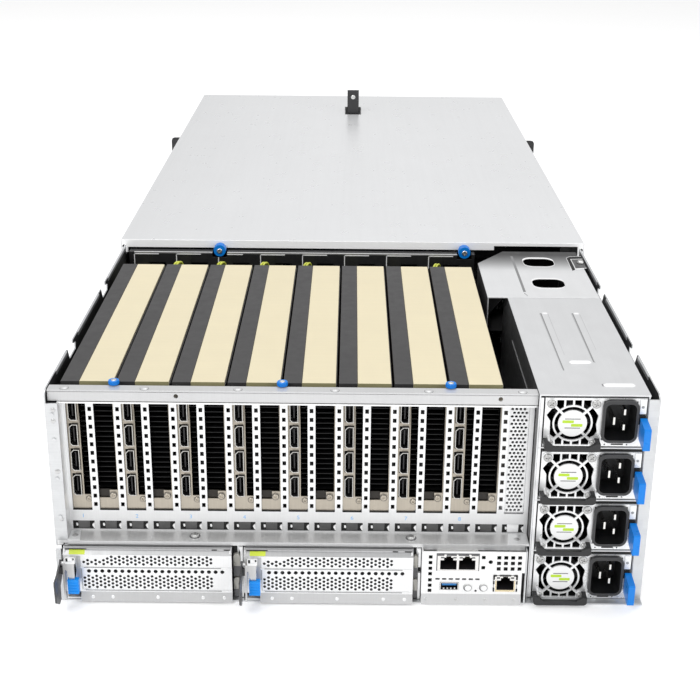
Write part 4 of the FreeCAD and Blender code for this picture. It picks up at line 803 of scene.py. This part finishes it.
# spring fingers of the blue socket
s = Shape()
for x in (70.4, 73.2, 75.8, 78.6):
    s.plate(rrect(x - 0.55, x + 0.55, 13.4, 14.7, 0.2, 2), [], XZ(-20.6), 0.0, 0.2)
s.done("usb_fingers", "chassis", "screw")
s = Shape()
for c in (73.25, 87.2):
    for dx in (-4.6, 4.6):
        s.plate(rrect(c + dx - 1.3, c + dx + 1.3, 40.6, 41.7, 0.2, 2), [], XZ(-21.4), 0.0, 0.12)
s.plate(rrect(110.0, 112.4, 23.2, 24.6, 0.2, 2), [], XZ(-21.4), 0.0, 0.12)
s.plate(rrect(120.6, 123.0, 23.2, 24.6, 0.2, 2), [], XZ(-21.4), 0.0, 0.12)
s.done("io_link_lights", "chassis", "ink_grey")
s = Shape()
for c, z in ((73.25, 30.9), (87.2, 30.9), (116.5, 13.6)):
    for j in range(8):
        x = c - 3.57 + 1.02 * j
        s.tube([(x, -12.0, z + 7.6), (x, -17.0, z + 7.2), (x, -9.0, z + 4.6)], 0.2, 6)
s.done("io_contacts", "chassis", "gold")
s = Shape()
# management socket: black gaps round the shell in painted shade, gold sill and side springs
for x0, x1, z0, z1 in ((107.3, 110.0, 25.2, 26.5), (107.3, 108.6, 22.4, 26.5), (107.3, 108.4, 18.4, 21.2), (107.3, 108.4, 12.0, 15.4), (112.0, 120.6, 25.3, 26.5), (122.8, 125.7, 25.2, 26.5), (124.4, 125.7, 22.4, 26.5), (124.6, 125.7, 18.4, 21.2), (124.6, 125.7, 12.0, 14.6)):
    s.plate(rect(x0, x1, z0, z1), [], XZ(-21.4), 0.0, 0.1)
s.mat = 1
s.plate(rrect(109.2, 123.8, 12.2, 13.5, 0.3, 2), [], XZ(-21.4), 0.0, 0.35)
s.plate(rrect(109.0, 109.9, 13.0, 21.6, 0.2, 2), [], XZ(-21.4), 0.0, 0.25)
s.plate(rrect(123.1, 123.9, 13.0, 21.6, 0.2, 2), [], XZ(-21.4), 0.0, 0.25)
s.done("management_frame", "chassis", ["void", "sill"])
s = Shape()
s.plate(rect(128.7, 130.8, 28.0, 46.0), [], XZ(-20.0), 0.0, 1.0)
s.done("io_panel_ear", "chassis", "white")
# painted shadow crescents beside the two discs and painted shade rings round them
s = Shape()
for x, z, r in ((88.6, 15.2, 3.5), (100.5, 15.2, 3.5)):
    n = 20
    arc = [(x + r * math.cos(math.radians(120 + 150.0 * i / n)), z + r * math.sin(math.radians(120 + 150.0 * i / n))) for i in range(n + 1)]
    back = [(x + (r - 0.55 * math.sin(math.pi * i / n)) * math.cos(math.radians(120 + 150.0 * i / n)), z + (r - 0.55 * math.sin(math.pi * i / n)) * math.sin(math.radians(120 + 150.0 * i / n))) for i in range(n, -1, -1)]
    s.plate(arc + back[1:-1], [], XZ(-21.0), 0.0, 0.1)
for x in (88.6, 100.5):
    s.plate(circle(x, 15.2, 2.8, 28), [circle(x + 0.12, 15.1, 2.4, 28)], XZ(-21.9), 0.0, 0.06)
s.done("io_disc_shadows", "chassis", "ink_grey")
# painted shade in the gaps round the network sockets
s = Shape()
s.plate([(64.2, 29.6), (64.9, 29.6), (64.9, 44.0), (95.7, 44.0), (95.7, 29.6), (96.4, 29.6), (96.4, 44.7), (64.2, 44.7)], [], XZ(-21.0), 0.0, 0.08)
for x0, x1 in ((64.9, 69.9), (71.6, 79.2), (80.5, 88.5), (90.1, 95.7)):
    s.plate(rect(x0, x1, 42.7, 44.0), [], XZ(-21.4), 0.0, 0.1)
s.done("network_outline", "chassis", "ink_grey")

# ------------------------------------------------------------------ cover
s = Shape()
for x in (-128.4, 108.1):
    s.cross_screw((x, 316.9, 168.4), (0, -1, 0), 2.6, 0.9, turn=0.6)
    # grip ribs round the knob
    for j in range(30):
        a = 2 * math.pi * j / 30
        cx, cz = x + 5.62 * math.cos(a), 168.4 + 5.62 * math.sin(a)
        s.mat = 1
        s.tube([(cx, 318.2, cz), (cx, 325.4, cz)], 0.28, 6)
    s.mat = 2
    s.plate(rect(x - 5.2, x + 5.2, 163.4, 168.0), [], XZ(328.8), 0.0, 0.15)
    s.mat = 0
s.done("cover_screw_faces", "cover", ["screw", "blue", "black"])
# folded lip of the cover and its corner blocks, painted lighter than the cover as lit, with painted shade in the
# blocks' holes and thin painted shade lines along the outer sides
s = Shape()
s.plate(rect(-218.6, 137.6, 168.0, 175.3), [], XZ(328.8), 0.0, 0.12)
s.plate(rect(137.6, 219.0, 172.2, 175.3), [], XZ(328.8), 0.0, 0.12)
for x0, x1, xh in ((-224.9, -218.6, -222.6), (219.0, 224.9, 222.6)):
    s.mat = 0
    s.plate(rect(x0, x1, 162.6, 175.3), [], XZ(328.8), 0.0, 0.12)
    s.mat = 1
    s.plate(circle(xh, 168.7, 1.6, 18), [], XZ(328.68), 0.0, 0.06)
s.mat = 2
s.plate(rect(-225.25, -224.9, 162.6, 175.3), [], XZ(328.8), 0.0, 0.12)
s.plate(rect(224.9, 225.25, 162.6, 175.3), [], XZ(328.8), 0.0, 0.12)
s.done("cover_lip", "cover", ["lip_white", "void", "shade_line"])
# card end support: one tab for each card, its folded edges in painted highlights
s = Shape()
for k in range(8):
    x = -211.3 + 2 * PITCH * k
    s.mat = 0
    s.plate(rect(x + 1.2, x + 14.2, 150.0, 161.4 if k == 2 else 164.0), [], XZ(318.0), 0.0, 0.5)
    s.mat = 1
    s.plate(rect(x, x + 0.8, 152.5, 161.6 if k == 2 else 165.2), [], XZ(318.0), 0.0, 0.7)
    s.plate(rect(-121.2 if k == 2 else x, x + 24.0, 164.4, 165.2), [], XZ(318.0), 0.0, 0.7)
for x0, x1 in ((-211.0, -135.6), (-121.2, 101.0)):
    s.plate(rect(x0, x1, 318.0, 319.2), [], XY(166.6), 0.0, 0.05)
s.mat = 2
for x0, x1 in ((-211.0, -135.6), (-121.2, 101.0)):
    s.plate(rect(x0, x1, 165.4, 166.5), [], XZ(318.0), 0.0, 0.3)
s.done("end_support_tabs", "chassis", ["black", "bright", "edge"])
s = Shape()
for x in (-173.0, -50.7, 71.6):
    for j in range(26):
        a = 2 * math.pi * j / 26
        cx, cy = x + 3.75 * math.cos(a), 0.4 + 3.75 * math.sin(a)
        s.tube([(cx, cy, 171.2), (cx, cy, 173.4)], 0.24, 6)
    s.mat = 1
    s.cross_screw((x, 0.4, 173.8), (0, 0, 1), 2.0, 0.5, turn=0.4 + x)
    s.mat = 0
s.done("beam_screw_ribs", "chassis", ["blue", "screw"])
s = Shape()
s.cross_screw((0.0, 922.2, 199.0), (0, -1, 0), 3.1, 0.8, turn=0.5)
s.done("latch_screw_face", "cover_latch", "screw")

# front: rim round the power button and two lamps below it
s = Shape()
s.loops([[(209.0 - r * math.cos(2 * math.pi * i / 36), 1047.5 + h, 150.0 + r * math.sin(2 * math.pi * i / 36)) for i in range(36)] for r, h in ((4.6, 0.0), (6.4, 0.0), (6.3, 0.35), (5.7, 0.6), (4.9, 0.6), (4.6, 0.4))], close=True)
s.done("power_button_rim", "chassis", "grey")
s = Shape()
for z in (137.0, 130.0):
    s.lathe((209.0, 1047.5, z), (0, 1, 0), [(1.6, 0.0), (1.5, 0.35), (0.9, 0.6), (0.0, 0.7)], 20)
s.done("front_lamps", "chassis", "led")


plugs = Shape()
for k in range(8):
    xl = -212.9 + 2 * PITCH * k
    plugs.mat = 0
    plugs.box(xl + 1.6, xl + 13.0, 269.2, 277.0, 150.0, 163.0)
    plugs.box(xl + 1.6, xl + 13.0, 294.0, 308.0, 50.8, 64.0)
    plugs.box(xl + 5.4, xl + 9.2, 270.4, 276.0, 163.0, 164.6)
    rise = 167.6 if k in (1, 2, 3, 4, 7) else 160.0
    for x in (xl + 3.0, xl + 5.4):
        plugs.mat = 1
        plugs.lathe((x, 276.6, 156.7), (0.8, 5.0, (rise - 157.0) * 0.7), [(1.16, 0.0), (1.16, 1.6), (1.05, 1.9)], 16)
        plugs.lathe((x + 6.0, 301.0, 63.9), (0, 0, 1), [(1.16, 0.0), (1.16, 1.2), (1.05, 1.6)], 16)
plug_obj = plugs.done("card_power_plugs", "chassis", ["black", "grey"], bevel=0.4)
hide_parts("card_power_leads")
for k in range(8):
    xl = -212.9 + 2 * PITCH * k
    rise = 167.6 if k in (1, 2, 3, 4, 7) else 160.0
    for w_, x in enumerate((xl + 3.0, xl + 5.4)):
        route = [(x, 277.0, 157.0), (x + 0.8, 282.0, 157.0 + (rise - 157.0) * 0.7), (x + 3.4, 286.5, rise), (x + 6.0, 295.0, rise - 4.0), (x + 6.0, 301.0, 140.0), (x + 6.0, 301.0, 100.0), (x + 6.0, 301.0, 64.0)]
        cu = bpy.data.curves.new("card_lead_%d_%d" % (k + 1, w_ + 1), "CURVE")
        cu.dimensions = "3D"
        cu.bevel_depth = 0.001
        cu.bevel_resolution = 3
        cu.resolution_u = 10
        cu.use_fill_caps = True
        sp = cu.splines.new("NURBS")
        sp.points.add(len(route) - 1)
        for q, (a, b, c) in zip(sp.points, route):
            q.co = (a / 1000.0, (b - Y_MID) / 1000.0, c / 1000.0, 1.0)
        sp.order_u = 3
        sp.use_endpoint_u = True
        cu.materials.append(M["wire"])
        o = bpy.data.objects.new("card_lead_%d_%d" % (k + 1, w_ + 1), cu)
        bpy.context.scene.collection.objects.link(o)
        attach(o, "chassis")

# ------------------------------------------------------------------ stage, light and camera
me = bpy.data.meshes.new("floor")
R = 30.0
me.from_pydata([(-R, -R, 0), (R, -R, 0), (R, R, 0), (-R, R, 0)], [], [(0, 1, 2, 3)])
floor = bpy.data.objects.new("floor", me)
floor.location.z = -0.0004
bpy.context.scene.collection.objects.link(floor)
me.materials.append(surface("floor_paper", (0.94, 0.94, 0.94), 0.8, 0.0, var=0.008, var_scale=1.0, grain=300, bump=0.02, spec=0.1, emit=0.22))

w = bpy.data.worlds.new("studio")
bpy.context.scene.world = w
w.use_nodes = True
bg = w.node_tree.nodes["Background"]
bg.inputs["Color"].default_value = (1.0, 1.0, 1.0, 1.0)
bg.inputs["Strength"].default_value = 0.66


def area(name, loc, look, size, power, size_y=None):
    d = bpy.data.lights.new(name, "AREA")
    d.energy = power
    d.size = size
    if size_y:
        d.shape = "RECTANGLE"
        d.size_y = size_y
    o = bpy.data.objects.new(name, d)
    o.location = loc
    o.rotation_mode = "QUATERNION"
    o.rotation_quaternion = (Vector(look) - Vector(loc)).to_track_quat("-Z", "Y")
    bpy.context.scene.collection.objects.link(o)
    return o


area("key", (-1.6, -2.6, 2.6), (0.0, -0.3, 0.1), 1.6, 44.0)
area("fill", (2.2, -2.4, 1.6), (0.1, -0.4, 0.1), 1.6, 20.0)
area("top", (0.0, 0.4, 2.6), (0.0, 0.1, 0.1), 2.0, 26.0)

bpy.context.scene.view_settings.view_transform = "Standard"
bpy.context.scene.view_settings.look = "None"

cam_d = bpy.data.cameras.new("camera")
cam = bpy.data.objects.new("camera", cam_d)
bpy.context.scene.collection.objects.link(cam)
yaw, pitch, roll = -0.0002, 0.3575, 0.0093
fwd = Vector((math.sin(yaw) * math.cos(pitch), math.cos(yaw) * math.cos(pitch), -math.sin(pitch)))
right = Vector((math.cos(yaw), -math.sin(yaw), 0.0))
up = right.cross(fwd)
cr = right * math.cos(roll) + up * math.sin(roll)
cu_ = -right * math.sin(roll) + up * math.cos(roll)
rot = Matrix((cr, cu_, -fwd)).transposed().to_4x4()
rot.translation = Vector((-0.0027228, -0.8226004 - Y_MID / 1000.0, 0.5448059))
cam.matrix_world = rot
cam_d.sensor_fit = "HORIZONTAL"
cam_d.sensor_width = 36.0
cam_d.lens = 1242.7084 * 36.0 / 700.0
cam_d.shift_x = (350.0 - 349.0886) / 700.0
cam_d.shift_y = (300.0485 - 350.0) / 700.0
cam_d.clip_start, cam_d.clip_end = 0.02, 100.0
bpy.context.scene.camera = cam
